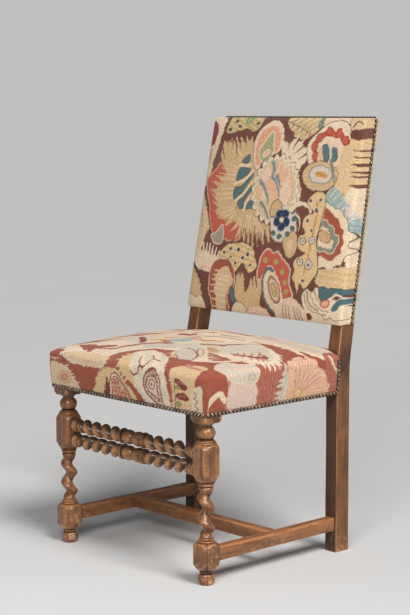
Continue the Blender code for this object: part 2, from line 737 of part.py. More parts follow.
def seat_form(inset, bottom, wall_cuts):
    """The stuffed seat's form, drawn in by an inset: swelling sides, drawn-in corners and a crown."""
    edge = (0.012, 0.05, 0.13, 0.27)
    shares = (*edge, 0.5, *(1 - share for share in reversed(edge)))
    front = FRONT_FACE - COVER_GAP + inset
    back = SEAT_REAR + COVER_GAP - inset
    half = HALF_WIDTH + COVER_GAP - inset
    top = SEAT_EDGE_LEVEL - inset
    body = brick((-1, -1, bottom), (1, 1, top), (shares, shares, wall_cuts))

    def stuff(point):
        u, v, level = point
        swell = side_swell(level)
        drawn = SEAT_CORNER if abs(u * v) > 0.999 else 0.0
        x = u * (half + swell - drawn)
        y = (front + back) / 2 + v * ((back - front) / 2 + (swell if v < 0 else 0.0) - drawn)
        across = 1 - min(abs(u), 1.0) ** SEAT_ROUNDING
        along = 1 - min(abs(v), 1.0) ** SEAT_ROUNDING
        round_over = math.sqrt(across * along)
        dome = SEAT_EDGE_RISE * round_over + SEAT_CROWN * (1 - u * u) * (1 - v * v)
        return Vector((x, y, level + (dome if level > top - CLEARANCE else 0.0)))

    return mapped(body, stuff)


def without_posts(piece):
    """Notches a piece round both rear posts, out past its own sides."""
    inner_corner, _ = post_box(CLEARANCE)
    reach = HALF_WIDTH + FRONT_PROUD + NOTCH_MARGIN
    rear = max(POST_REAR, SEAT_REAR + COVER_GAP) + NOTCH_MARGIN
    for side_name, side in SIDES:
        low, high = mirrored(inner_corner, (reach, rear, BACK_BOTTOM), side)
        bend = (BEND_HEIGHT - low[2]) / (high[2] - low[2])
        notch = mapped(brick(low, high, ((), (), (bend,))), leaned)
        boolean(piece, f"{piece.name}_notch_{side_name}", notch, "DIFFERENCE")


def open_shell(name, body, thickness, is_open, material):
    """A sheet of cloth: a form without the faces at its open side, thickened inwards."""
    gone = [face for face in body.faces if is_open(face)]
    bmesh.ops.delete(body, geom=gone, context="FACES")
    made = add_object(name, body, parts, material)
    wall = made.modifiers.new("cloth", "SOLIDIFY")
    wall.thickness = thickness
    wall.offset = -1.0
    wall.use_even_offset = True
    return made


def seat_upholstery():
    """Hessian on the webs, a crowned pad of stuffing, and the tapestry nailed round the rails."""
    reach = HALF_WIDTH - HESSIAN_INSET
    rear = SEAT_REAR - HESSIAN_INSET
    sheet = brick((-reach, FRONT_FACE + HESSIAN_INSET, HESSIAN_BOTTOM), (reach, rear, HESSIAN_TOP))
    without_posts(add_object("seat_hessian", sheet, parts, HESSIAN))
    pad = seat_form(COVER_GAP, HESSIAN_TOP + CLEARANCE, ())
    without_posts(add_object("seat_stuffing", pad, parts, STUFFING))
    form = seat_form(0.0, SEAT_HEM_LEVEL, [share for share, _ in SWELL_WAIST])
    cover = open_shell(
        "seat_cover",
        form,
        COVER_THICKNESS,
        lambda face: face.calc_center_median().z < SEAT_HEM_LEVEL + CLEARANCE,
        SEAT_TAPESTRY,
    )
    without_posts(cover)


def back_form(inset, front, rear, crown, bottom, top):
    """The back's padded form before it leans: flat sides and a swell towards the front."""
    edge = (0.02, 0.08, 0.2, 0.35)
    shares = (*edge, 0.5, *(1 - share for share in reversed(edge)))
    half = HALF_WIDTH + COVER_GAP - inset
    body = brick((-1, 0, -1), (1, 1, 1), (shares, (), shares))

    def stuff(point):
        u, depth, w = point
        round_over = math.sqrt((1 - abs(u) ** BACK_ROUNDING) * (1 - abs(w) ** BACK_ROUNDING))
        swell = BACK_PAD * (round_over - 1) + crown * (1 - u * u) * (1 - w * w)
        y = front - swell if depth < 0.5 else rear
        return leaned(Vector((u * half, y, (bottom + top) / 2 + w * (top - bottom) / 2)))

    return mapped(body, stuff)


def back_upholstery():
    """Hessian across the posts, stuffing, the tapestry wrapped round the posts, and the outside back."""
    bottom = BACK_BOTTOM + COVER_GAP
    reach = HALF_WIDTH - HESSIAN_INSET
    hessian_face = POST_FACE - CLEARANCE - HESSIAN_THICKNESS
    sheet = brick(
        (-reach, hessian_face, bottom + HESSIAN_INSET),
        (reach, POST_FACE - CLEARANCE, POST_TOP - HESSIAN_INSET),
    )
    add_object("back_hessian", mapped(sheet, leaned), parts, HESSIAN)
    pad_rear = hessian_face - CLEARANCE
    pad_front = pad_rear - BACK_PAD - HESSIAN_THICKNESS
    pad = back_form(COVER_GAP, pad_front, pad_rear, BACK_CROWN, bottom, POST_TOP)
    add_object("back_stuffing", pad, parts, STUFFING)
    wrap = POST_FACE + BACK_WRAP
    form = back_form(0.0, pad_front - COVER_GAP, wrap, BACK_CROWN, BACK_BOTTOM, CHAIR_HEIGHT)
    cover = open_shell(
        "back_cover", form, COVER_THICKNESS, lambda face: is_rear(face, wrap), BACK_TAPESTRY
    )
    for side_name, side in SIDES:
        notch = post_body(side, CLEARANCE)
        boolean(cover, f"back_cover_notch_{side_name}", notch, "DIFFERENCE")
    outside_back()


def is_rear(face, plane):
    """Whether a leaned face lies on the rear plane of an upright form."""
    upright = leaned(Vector((0, plane, face.calc_center_median().z)))
    return face.calc_center_median().y > upright.y - CLEARANCE


def outside_back():
    """The plain cloth that closes the back from behind, lightly padded."""
    shares = (0.05, 0.2, 0.5, 0.8, 0.95)
    reach = HALF_WIDTH - REAR_INSET
    bottom = BACK_BOTTOM + COVER_GAP
    body = brick((-1, 0, -1), (1, 1, 1), (shares, (), shares))

    def stuff(point):
        u, depth, w = point
        swell = REAR_PAD * (1 - abs(u * w) ** BACK_ROUNDING) + REAR_CROWN * (1 - u**4) * (1 - w**4)
        y = POST_REAR + CLEARANCE + (swell if depth > 0.5 else 0.0)
        level = (bottom + OUTER_TOP) / 2 + w * (OUTER_TOP - bottom) / 2
        return leaned(Vector((u * reach, y, level)))

    add_object("back_outer_cover", mapped(body, stuff), parts, BACKING)


def build_chair():
    """Makes every piece, then cuts the joints."""
    for side_name, side in SIDES:
        front_leg(f"front_leg_{side_name}", side)
    rear_posts()
    front_stretchers()
    side_stretchers()
    cross_stretcher()
    front_rail()
    rear_rail()
    side_rails()
    back_rails()
    cut_pockets()
    seat_webbing()
    seat_upholstery()
    back_upholstery()


build_chair()
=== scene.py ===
"""Oak side chair, dressed: waxed oak, needlework pads, dome-headed nails, linen and webbing.

Metres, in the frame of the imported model: +Z is up, the chair faces -Y and stands on z = 0.
"""

import math

import bpy
import mathutils
import numpy as np
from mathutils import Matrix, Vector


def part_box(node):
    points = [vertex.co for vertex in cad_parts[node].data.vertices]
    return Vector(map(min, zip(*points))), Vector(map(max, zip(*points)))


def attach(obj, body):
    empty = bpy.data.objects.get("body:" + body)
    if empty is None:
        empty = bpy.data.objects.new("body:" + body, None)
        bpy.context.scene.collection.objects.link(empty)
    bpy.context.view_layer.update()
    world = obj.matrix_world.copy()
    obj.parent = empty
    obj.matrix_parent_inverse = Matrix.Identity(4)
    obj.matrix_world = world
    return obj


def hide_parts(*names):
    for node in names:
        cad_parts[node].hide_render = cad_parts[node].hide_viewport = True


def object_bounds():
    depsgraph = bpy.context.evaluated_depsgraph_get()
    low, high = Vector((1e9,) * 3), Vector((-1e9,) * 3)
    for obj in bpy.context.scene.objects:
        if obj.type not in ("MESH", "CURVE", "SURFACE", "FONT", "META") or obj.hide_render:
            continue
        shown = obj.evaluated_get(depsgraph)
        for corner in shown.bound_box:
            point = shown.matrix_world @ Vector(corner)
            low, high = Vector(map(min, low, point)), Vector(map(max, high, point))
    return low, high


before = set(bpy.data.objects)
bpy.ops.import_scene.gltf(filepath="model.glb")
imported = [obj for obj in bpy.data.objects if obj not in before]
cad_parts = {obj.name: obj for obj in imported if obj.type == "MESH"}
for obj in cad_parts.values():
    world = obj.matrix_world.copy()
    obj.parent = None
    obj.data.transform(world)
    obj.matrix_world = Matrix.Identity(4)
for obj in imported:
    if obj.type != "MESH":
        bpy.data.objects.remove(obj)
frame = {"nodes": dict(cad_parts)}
CAD_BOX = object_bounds()

bl_info = {
    "name": "Oak side chair",
    "version": (1, 0, 0),
    "blender": (4, 5, 0),
    "location": "3D View > Sidebar > Oak chair",
    "description": "Dresses the oak side chair in waxed oak, needlework, nails and linen",
    "category": "Object",
}

BODY = "root"
SIDES = (("left", -1), ("right", 1))


def corners(node):
    """A node's lowest and highest corner as arrays."""
    low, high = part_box(node)
    return np.array(low), np.array(high)


# Places that the frame gives
LEG_LOW, LEG_HIGH = corners("front_leg_right")
POST_LOW, POST_HIGH = corners("rear_post_right")
SIDE_LOW, SIDE_HIGH = corners("side_stretcher_right")
CROSS_LOW, CROSS_HIGH = corners("cross_stretcher")
SEAT_LOW, SEAT_HIGH = corners("seat_cover")
BACK_LOW = corners("back_cover")[0]
HESSIAN_LOW, HESSIAN_HIGH = corners("seat_hessian")
OUTER_LOW = corners("back_outer_cover")[0]
FRONT = LEG_LOW[1]
HALF_WIDTH = 0.265  # the frame's half width at its front, before it narrows
LEG_TOP = LEG_HIGH[2]
LEG_BLOCK = LEG_HIGH[1] - LEG_LOW[1]
LEG_AXIS = (HALF_WIDTH - LEG_BLOCK / 2, FRONT + LEG_BLOCK / 2)
POST_FACE = POST_LOW[1]
POST_TOP = POST_HIGH[2]
CHAIR_TOP = CAD_BOX[1][2]
CLEARANCE = 0.0003  # left between two pieces that touch

# Lengths of the turned stretches of a leg, from the floor up, and of a twist stretcher
FOOT = 0.0325
LOWER_BLOCK = 0.0605
LOWER_COLLAR = 0.012
TWIST_HEIGHT = 0.101
UPPER_COLLAR = 0.020
UPPER_BLOCK = 0.083
BULB = 0.0475
TOP_BLOCK = 0.083
ROPE_END = 0.020
ROPE_COLLAR = 0.007
BOBBIN = 0.034
TWIST_NECK = 0.0140  # radius of the plain round that a leg's twist grows from
ROPE_NECK = 0.0126  # and of that of a twist stretcher
STRETCHER_INSET = 0.006  # side stretchers stand in from the frame's side
STRETCHER_ROUND = 0.0022  # rounding of a stretcher's lower edges
TUCK = 0.002  # a stretcher's end goes this far into what carries it
BEND_EASE = 0.012  # the posts' bend is eased over this length
TWIST_FADE = 0.11  # share of a twist over which it grows from a plain round
TWIST_TURNS = 2.25  # of a leg's twist: a whole number of quarters, so that the blocks' rows line up
ROPE_TURNS = 4.5  # of each half of a twist stretcher: a whole number of halves, for the same reason
ROPE_ROUND = 0.92  # below one, a twist stretcher's ridges are fuller
TWIST_CREASE = 0.0014  # depth of the crease between the ropes of a leg's twist
CREASE_WIDTH = 0.6  # half of its width, in radians
VALLEY = 0.0100  # height above the bottom of a twist's valley up to which wax and painted shade darken it
LOWER_SHOULDERS = ((0.016, 0.0172), (0.011, 0.0205))  # height and end radius at a block's foot and head
UPPER_SHOULDERS = ((0.022, 0.0172), (0.014, 0.0222))
NO_SHOULDERS = ((0.0, 0.0150), (0.0, 0.0150))
BLOCK_EDGE = 0.62  # share of a block's side at which the lathe passes its corners
TOP_CHAMFER = 0.2  # share of the other blocks' chamfer that the top block has
CHIP_HEIGHT = 0.016  # over which the top block's lower edge is chipped
CHIP_DEPTH = 0.0014
POST_WANE = 0.012  # unevenness of a planed post, as a share of its width
STRETCHER_WANE = 0.035
POST_EASE = (0.0012, 0.05)  # height and share of width by which a post's foot is eased

# Fineness of the meshes
CUT_STEPS = 12
TWIST_STEPS = 40
EDGE_STEP = math.radians(0.8)
LEG_SPOKES = 12
ROPE_SPOKES = 48
ARC_STEPS = 5
POST_STEPS = 70
STRETCHER_STEPS = 44
WRAP_STEPS = 14
WEB_STEPS = 90
HESSIAN_STEPS = 40
CURVE_STEPS = 6
NAIL_SPOKES = 10
EDGE_DRAW = 0.5  # how far a pad's lines are drawn to its edges, where it bends most
SAME = 1e-9  # two parameters nearer than this are one

SCUFF_HEIGHT = 0.15  # below this the wood is scuffed, more so towards the floor
SEAT_JOINT = 0.445  # level at which the posts are blackened beside the seat

# Gain from a point's relief to its wear, and to the darkening of its grooves by old wax and painted shade
WEAR_GAIN = 3.2
GROOVE_GAIN = 6.5
RIDGE_LIMIT = -0.15  # the most that a ridge takes away of the old wax and painted shade laid on it
BROAD_REACH = 7  # points that the wider look at a piece's relief goes over
SHARP_EDGE = math.radians(38)  # edges that turn by more than this are drawn sharp
GRAIN_STRETCH = 0.055  # scale of the oak's figure along the grain

# Upholstery
BACK_EDGE = 0.0054  # the needlework's edge stands this far before the posts
BACK_LINING = 0.0016
BACK_CORNER = 0.004
BACK_LUMPS = 0.0006
BACK_CLOTH = (530.0, 471.0)  # millimetres of pattern across the back and down it
BACK_MARGIN = 3.0  # millimetres at the pattern's edge, from where its shapes run on to the nails
EDGE_RUN = 0.12  # share of the way that they go on
NOTCH_GAP = 0.0018  # between the hessian and the seat's cloth beside a post
HEM_DUST = 0.012  # height above the seat's hem over which dust has settled
LINEN = 0.0012
LINEN_CELL = 0.004
LINEN_CORNER = 0.003
LINEN_LAP = 0.001  # the linen's edge stands this far behind and below its frame
LINEN_PAD = 0.005
LINEN_CROWN = 0.003
WEB = 0.0014
NAIL_SEED = 5
NAIL_MARGIN = 0.007  # from the corners of the back to the first nail
SOFT_EDGE = 0.9  # millimetres over which one wool gives way to the next
CLOSE = 3  # millimetres round a shape within which its edge is worked
HATCH_INSET = 2.5  # millimetres from a shape's edge to its stripes
HATCH_COVER = 0.8  # share of the second wool in a stripe
HAND_WANDER = 0.7  # millimetres by which a worked line strays
STITCH_ROW = 2.3  # millimetres from one row of stitches to the next
STITCH_RUN = 11.0  # millimetres over which one row's ends stay alike
RAGGED = (2.6, 1.7)  # millimetres by which a plain edge steps in and out, along and across the rows
SEAT_SLANT = math.radians(47.5)  # from the seat's front edge to the line that its top's leaves follow

# Stage
LOOK_AT = (0.019, -0.0538, 0.5669)
CAMERA_ROLL = -0.12
FLOOR_SPAN = 60.0
KEY_PLACE = (2.3, -0.35, 3.2)
KEY_SPREAD = math.radians(24)
FRONT_PLACE = (1.6, -2.2, 1.9)
FRONT_SIZE = 1.1
SENSOR = 36.0  # millimetres across the camera's frame

# Dyed wools as seen in even light, each channel of sRGB out of 255
WOOLS = {
    "maroon": (108, 58, 46),
    "ink_red": (122, 44, 38),
    "crimson": (140, 48, 44),
    "brick": (158, 77, 54),
    "coral": (188, 86, 66),
    "rose": (194, 130, 112),
    "salmon": (212, 150, 116),
    "peach": (222, 174, 140),
    "blush": (226, 194, 170),
    "lilac": (224, 188, 177),
    "white": (209, 195, 179),
    "ivory": (234, 212, 188),
    "cream": (226, 204, 174),
    "oat": (222, 192, 156),
    "sand": (214, 184, 142),
    "tan": (202, 168, 122),
    "wheat": (220, 186, 136),
    "umber": (112, 72, 56),
    "gold": (196, 142, 76),
    "ochre": (164, 116, 66),
    "olive_tan": (178, 160, 106),
    "olive": (156, 156, 98),
    "sage": (148, 156, 118),
    "grey_green": (122, 132, 112),
    "celadon": (212, 204, 180),
    "stone": (158, 146, 126),
    "grey_blue": (138, 152, 150),
    "pale_blue": (158, 176, 176),
    "teal": (72, 104, 108),
    "slate": (92, 112, 116),
    "navy": (30, 44, 78),
    "plum": (104, 84, 84),
    "ink": (66, 62, 54),
}


def length(name, description, default):
    """A length that a user may change."""
    return bpy.props.FloatProperty(
        name=name, description=description, default=default, unit="LENGTH", precision=4
    )


def number(name, description, default):
    """A plain number that a user may change."""
    return bpy.props.FloatProperty(name=name, description=description, default=default)


def tint(name, description, default):
    """A colour that a user may change, in linear light."""
    return bpy.props.FloatVectorProperty(
        name=name, description=description, default=default, subtype="COLOR", size=3, min=0.0, max=1.0
    )


class OakSettings(bpy.types.PropertyGroup):
    """Colours and gloss of the waxed oak."""

    pale: tint("Worn oak", "Oak where hands and feet have rubbed it", (0.52, 0.255, 0.105))
    middle: tint("Waxed oak", "Oak on its open faces", (0.310, 0.118, 0.036))
    dry: tint("Dry oak", "Oak without its wax, on the posts and the low stretchers", (0.48, 0.200, 0.072))
    bare: tint("Bare edge", "Rubbed edges of the dry oak", (0.64, 0.42, 0.27))
    deep: tint("Dark grain", "Early wood and stained streaks", (0.080, 0.028, 0.011))
    # This colour is old wax and also painted shade: it darkens grooves and the oak under the seat
    grime_and_shade: tint("Old wax and painted shade", "Wax and dust, and painted shade, in the grooves and under the seat", (0.020, 0.010, 0.006))
    roughness: number("Roughness", "Roughness of the waxed face", 0.27)
    wax: number("Wax coat", "Weight of the clear wax coat", 0.36)


class FrameSettings(bpy.types.PropertyGroup):
    """Plan and lean of the chair's frame."""

    depth: length("Frame depth", "Front face of the legs to the rear face of the posts", 0.455)
    narrowing: length("Narrowing", "How far each side comes in by the rear posts", 0.004)
    bend: length("Bend height", "The posts are upright below this and raked above", 0.440)
    rake: length("Back rake", "How far the top stands behind the bend", 0.1055)
    taper: length("Back taper", "How far each post leans in by the top", 0.010)
    post_width: length("Post width", "Width of a rear post", 0.036)
    post_depth: length("Post depth", "Depth of a rear post", 0.043)
    arris: length("Post edge", "Rounding of the posts' worn edges", 0.0026)
    stretcher_width: length("Stretcher width", "Width of the low stretchers", 0.028)
    chamfer: length("Stretcher chamfer", "Chamfer on the stretchers' upper edges", 0.005)


class TurningSettings(bpy.types.PropertyGroup):
    """Turned legs and twist stretchers."""

    block_chamfer: length("Block chamfer", "Chamfer on the square blocks' corners", 0.0085)
    twist_radius: length("Leg twist radius", "Radius of the rope in the leg's twist", 0.0137)
    twist_throw: length("Leg twist throw", "How far the rope stands off the leg's axis", 0.0058)
    twist_start: number("Leg twist start", "Degrees from +X of the rope at its foot", 195.0)
    rope_high: length("Stretcher twist ridge", "Reach of a twist stretcher's rounded ridge", 0.0175)
    rope_low: length("Stretcher twist valley", "Reach of the sharp valley beside it", 0.0062)
    collar_radius: length("Collar radius", "Radius of the thin discs beside the bobbins", 0.0180)
    bobbin_radius: length("Bobbin radius", "Radius of the bobbins and end rings", 0.0168)


class SeatSettings(bpy.types.PropertyGroup):
    """The stuffed seat."""

    bulge: length("Side swell", "How far the sides swell between nails and shoulder", 0.0065)
    shoulder: length("Shoulder", "The seat's edge above its rails, where it rounds over", 0.014)
    edge_rise: length("Edge rise", "Height of that rounding", 0.018)
    crown: length("Crown", "Swell of the seat's middle above its edge", 0.032)
    corner: length("Corner", "Radius of the seat's upright corners", 0.012)
    lumps: length("Lumps", "Unevenness of the old stuffing", 0.0012)
    cell: length("Grid cell", "Spacing of the seat's mesh", 0.0021)


class BackSettings(bpy.types.PropertyGroup):
    """The stuffed back and the linen behind it."""

    pad: length("Back pad", "Stuffing at the edge of the back", 0.010)
    crown: length("Back crown", "Its swell at the middle", 0.010)
    wrap: length("Wrap", "How far the needlework goes round the posts", 0.034)
    cell: length("Grid cell", "Spacing of the back's mesh", 0.0018)


class NeedleworkSettings(bpy.types.PropertyGroup):
    """Stitches of the needlework."""

    stitch: length("Stitch", "Side of one tent stitch", 0.0019)
    thickness: length("Cloth", "Thickness of the needlework", 0.0025)


class NailSettings(bpy.types.PropertyGroup):
    """Dome-headed nails."""

    radius: length("Head radius", "Radius of a nail's head", 0.0050)
    dome: length("Head height", "Height of a nail's dome", 0.0038)
    pitch: length("Pitch", "Spacing of the nails", 0.0109)
    inset: length("Inset", "Nail line from the cloth's edge", 0.0050)


class StageSettings(bpy.types.PropertyGroup):
    """Floor, light and camera."""

    floor: tint("Floor", "Colour of the plain floor", (0.60, 0.605, 0.615))
    backdrop: tint("Backdrop", "Colour seen behind the chair", (0.524, 0.520, 0.514))
    key: number("Key light", "Strength of the even light from the right", 2.9)
    front: number("Front light", "Watts of the soft light by the camera", 52.0)
    sky: number("Sky", "Strength of the even light from all round", 0.19)
    azimuth: number("Azimuth", "Degrees of the camera round the chair from its front", 47.53)
    elevation: number("Elevation", "Degrees of the camera above the level", 7.0)
    distance: length("Distance", "Camera to the point that it looks at", 3.754)
    lens: number("Lens", "Focal length in millimetres on a 36 mm frame", 95.26)


class ChairSettings(bpy.types.PropertyGroup):
    """All of the chair's settings."""

    oak: bpy.props.PointerProperty(type=OakSettings)
    frame: bpy.props.PointerProperty(type=FrameSettings)
    turning: bpy.props.PointerProperty(type=TurningSettings)
    seat: bpy.props.PointerProperty(type=SeatSettings)
    back: bpy.props.PointerProperty(type=BackSettings)
    needlework: bpy.props.PointerProperty(type=NeedleworkSettings)
    nails: bpy.props.PointerProperty(type=NailSettings)
    stage: bpy.props.PointerProperty(type=StageSettings)


def settings():
    """The chair's settings in the current scene."""
    return bpy.context.scene.oak_side_chair


class Wire:
    """A socket in a material: operators on it add Math nodes, so shader maths reads as maths."""

    def __init__(self, finish, socket):
        self.finish = finish
        self.socket = socket

    def maths(self, operation, first, second=0.0):
        """The result of one Math node."""
        return self.finish.node("ShaderNodeMath", {"operation": operation}, {0: first, 1: second})

    def __add__(self, other):
        return self.maths("ADD", self, other)

    def __sub__(self, other):
        return self.maths("SUBTRACT", self, other)

    def __rsub__(self, other):
        return self.maths("SUBTRACT", other, self)

    def __mul__(self, other):
        return self.maths("MULTIPLY", self, other)

    def __pow__(self, other):
        return self.maths("POWER", self, other)

    __radd__ = __add__
    __rmul__ = __mul__

    def absolute(self):
        """The value without its sign."""
        return self.maths("ABSOLUTE", self)

    def fraction(self):
        """The part of the value after the point."""
        return self.maths("FRACT", self)

    def wave(self):
        """The sine of the value."""
        return self.maths("SINE", self)

    def most(self, other):
        """The larger of two values."""
        return self.maths("MAXIMUM", self, other)

    def step(self, low, high):
        """Nought below low, one above high, and a smooth rise between."""
        return self.finish.node(
            "ShaderNodeMapRange",
            {"interpolation_type": "SMOOTHSTEP"},
            {"Value": self, "From Min": low, "From Max": high},
        )


class Finish:
    """One procedural material on a Principled shader."""

    def __init__(self, name):
        self.material = bpy.data.materials.new(name)
        self.material.use_nodes = True
        self.tree = self.material.node_tree
        self.shader = self.tree.nodes["Principled BSDF"]

    def feed(self, socket, value):
        """Links a wire to a socket, or sets the socket's own value."""
        if isinstance(value, Wire):
            self.tree.links.new(value.socket, socket)
        elif isinstance(socket.default_value, (float, int)):
            socket.default_value = value
        else:
            short = len(socket.default_value) - len(value)
            socket.default_value = (*value, *([1.0] * short))

    def node(self, kind, options=None, sockets=None, output=0):
        """Adds a node: its settings come first, then the values or links of its sockets."""
        made = self.tree.nodes.new(kind)
        for key, value in (options or {}).items():
            setattr(made, key, value)
        for key, value in (sockets or {}).items():
            self.feed(made.inputs[key], value)
        return Wire(self, made.outputs[output])

    def place(self, scale=(1.0, 1.0, 1.0)):
        """Object coordinates, stretched."""
        where = self.node("ShaderNodeTexCoord", output="Object")
        return self.node("ShaderNodeMapping", {}, {"Vector": where, "Scale": scale})

    def part(self, vector, axis):
        """One of the three parts of a vector."""
        return self.node("ShaderNodeSeparateXYZ", {}, {0: vector}, "xyz".index(axis))

    def attribute(self, name, output="Fac"):
        """A value that the mesh carries."""
        return self.node("ShaderNodeAttribute", {"attribute_name": name}, output=output)

    def noise(self, where, scale, detail, roughness, warp=0.0):
        """Soft noise from nought to one."""
        return self.node(
            "ShaderNodeTexNoise",
            {},
            {"Vector": where, "Scale": scale, "Detail": detail, "Roughness": roughness, "Distortion": warp},
        )

    def blend(self, share, first, second):
        """A colour between two colours."""
        return self.node(
            "ShaderNodeMix",
            {"data_type": "RGBA", "clamp_factor": True},
            {0: share, 6: first, 7: second},
            output=2,
        )

    def scaled(self, colour, value):
        """A colour made lighter or darker by a value."""
        return self.node(
            "ShaderNodeVectorMath", {"operation": "SCALE"}, {"Vector": colour, "Scale": value}
        )

    def bump(self, height, distance, strength):
        """A normal tilted by a height, where a height of one is a distance in metres."""
        sockets = {"Height": height, "Distance": distance, "Strength": strength}
        return self.node("ShaderNodeBump", {}, sockets, "Normal")

    def paint(self, **sockets):
        """Feeds the shader: each name is a socket's name with _ for its spaces."""
        for key, value in sockets.items():
            self.feed(self.shader.inputs[key.replace("_", " ")], value)
        return self.material


def narrowed(points):
    """Points of a square-planned chair once the frame comes in towards the rear."""
    sizes = settings().frame
    share = (points[..., 1] - FRONT) / sizes.depth
    across = points[..., 0] * (1 - share * sizes.narrowing / HALF_WIDTH)
    return np.stack([across, points[..., 1], points[..., 2]], -1)


def leaned(points):
    """Points of an upright chair once the back is raked and narrowed above an eased bend.

    The height above the bend is (d + sqrt(d * d + e * e)) / 2, which is d eased over a length e.
    """
    sizes = settings().frame
    above = points[..., 2] - sizes.bend
    share = 0.5 * (above + np.sqrt(above**2 + BEND_EASE**2)) / (CHAIR_TOP - sizes.bend)
    across = points[..., 0] * (1 - share * sizes.taper / HALF_WIDTH)
    return np.stack([across, points[..., 1] + share * sizes.rake, points[..., 2]], -1)


def grid_faces(index):
    """Quads between the neighbouring points of an index grid."""
    ring = [index[:-1, :-1], index[:-1, 1:], index[1:, 1:], index[1:, :-1]]
    return np.stack(ring, -1).reshape(-1, 4)


def fan_faces(loop, centre):
    """Triangles from the edges of a closed loop of points to one centre."""
    return np.stack([np.roll(loop, -1), loop, np.full(len(loop), centre)], -1)


def outward(points, groups):
    """The faces of a closed body, turned round where the sign of its volume is negative."""
    volume = 0.0
    for group in groups:
        first = points[group[:, 0]]
        for k in range(1, group.shape[1] - 1):
            volume += np.sum(first * np.cross(points[group[:, k]], points[group[:, k + 1]]))
    return groups if volume > 0 else [group[:, ::-1] for group in groups]


def tube(rings):
    """A closed tube: quads between rings of points, and a fan to a middle point at each end."""
    count, around = rings.shape[:2]
    index = np.arange(count * around).reshape(count, around)
    quads = grid_faces(np.concatenate([index, index[:, :1]], 1))
    caps = [fan_faces(index[0], count * around), fan_faces(index[-1][::-1], count * around + 1)]
    ends = np.stack([rings[0].mean(0), rings[-1].mean(0)])
    points = np.concatenate([rings.reshape(-1, 3), ends])
    return points, outward(points, [quads, np.concatenate(caps)])


def relief(rings, reach=2):
    """How far each point of a tube stands out from its neighbours, as a share of their distance.

    It is the point less the middle of its neighbours, measured along the outward normal. What a
    plain round bar would have is taken off, so edges and beads are above nought, grooves below.
    """
    padded = np.concatenate([rings[:1]] * reach + [rings] + [rings[-1:]] * reach)
    before, after = padded[: len(rings)], padded[2 * reach :]
    left, right = np.roll(rings, reach, 1), np.roll(rings, -reach, 1)
    normal = np.cross(after - before, right - left)
    normal /= np.linalg.norm(normal, axis=-1, keepdims=True) + 1e-12
    outwards = np.sign(np.sum(normal * (rings - rings.mean(1, keepdims=True))))
    along = np.sum((rings - (before + after) / 2) * normal, -1)
    around = np.sum((rings - (left + right) / 2) * normal, -1)
    along /= np.linalg.norm(after - before, axis=-1) + 1e-9
    around /= np.linalg.norm(right - left, axis=-1) + 1e-9
    around -= around.mean(1, keepdims=True)
    return outwards * (along + around)


def mesh_of(name, points, groups):
    """A mesh from whole arrays of points and faces."""
    loops = np.concatenate([group.ravel() for group in groups]).astype(np.int32)
    totals = np.concatenate([np.full(len(group), group.shape[1]) for group in groups])
    starts = np.concatenate([[0], np.cumsum(totals)[:-1]]).astype(np.int32)
    mesh = bpy.data.meshes.new(name)
    mesh.vertices.add(len(points))
    mesh.vertices.foreach_set("co", points.astype(np.float32).ravel())
    mesh.loops.add(len(loops))
    mesh.loops.foreach_set("vertex_index", loops)
    mesh.polygons.add(len(totals))
    mesh.polygons.foreach_set("loop_start", starts)
    mesh.update(calc_edges=True)
    mesh.shade_smooth()
    return mesh


def carry(mesh, name, values):
    """Gives every point of a mesh a value, or a colour, that its material reads."""
    flat = values.reshape(len(mesh.vertices), -1)
    if flat.shape[1] == 1:
        layer = mesh.attributes.new(name, "FLOAT", "POINT")
        layer.data.foreach_set("value", flat.astype(np.float32).ravel())
        return
    layer = mesh.attributes.new(name, "FLOAT_COLOR", "POINT")
    solid = np.concatenate([flat, np.ones((len(flat), 1))], 1)
    layer.data.foreach_set("color", solid.astype(np.float32).ravel())


def carry_uv(mesh, places):
    """A UV map from one place on the cloth for each point of the mesh."""
    corner = np.zeros(len(mesh.loops), np.int32)
    mesh.loops.foreach_get("vertex_index", corner)
    layer = mesh.uv_layers.new(name="cloth")
    layer.data.foreach_set("uv", places[corner].astype(np.float32).ravel())


def add_piece(name, mesh, material, nodes=()):
    """Puts a finished piece in the scene, riding on the chair and standing for its nodes."""
    piece = bpy.data.objects.new(name, mesh)
    bpy.context.scene.collection.objects.link(piece)
    mesh.materials.append(material)
    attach(piece, BODY)
    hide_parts(*nodes)
    return piece


def add_oak(name, rings, material, nodes, broad=0.0, soot_and_shade=0.0):
    """An oak piece from rings of points, with its worn edges marked, and its grooves darkened by old wax
    and painted shade.

    Broad is the weight of a second, wider look at its relief, for painted shade that spreads up a valley.
    The last argument is dirt and painted shade laid on besides, one share for each point of the rings.
    """
    points, groups = tube(rings)
    mesh = mesh_of(name, points, groups)
    mesh.set_sharp_from_angle(angle=SHARP_EDGE)
    height = relief(rings) + broad * relief(rings, BROAD_REACH)
    height = np.concatenate([height.ravel(), [0.0, 0.0]])
    carry(mesh, "wear", np.clip(height * WEAR_GAIN, 0, 1))
    soot_and_shade = np.concatenate([np.broadcast_to(soot_and_shade, rings.shape[:2]).ravel(), [0.0, 0.0]])
    # Concave relief, and what is laid on besides, darken the oak: old wax and painted shade
    carry(mesh, "groove", np.clip(np.maximum(-height * GROOVE_GAIN, RIDGE_LIMIT) + soot_and_shade, 0, 1))
    add_piece(name, mesh, material, nodes)


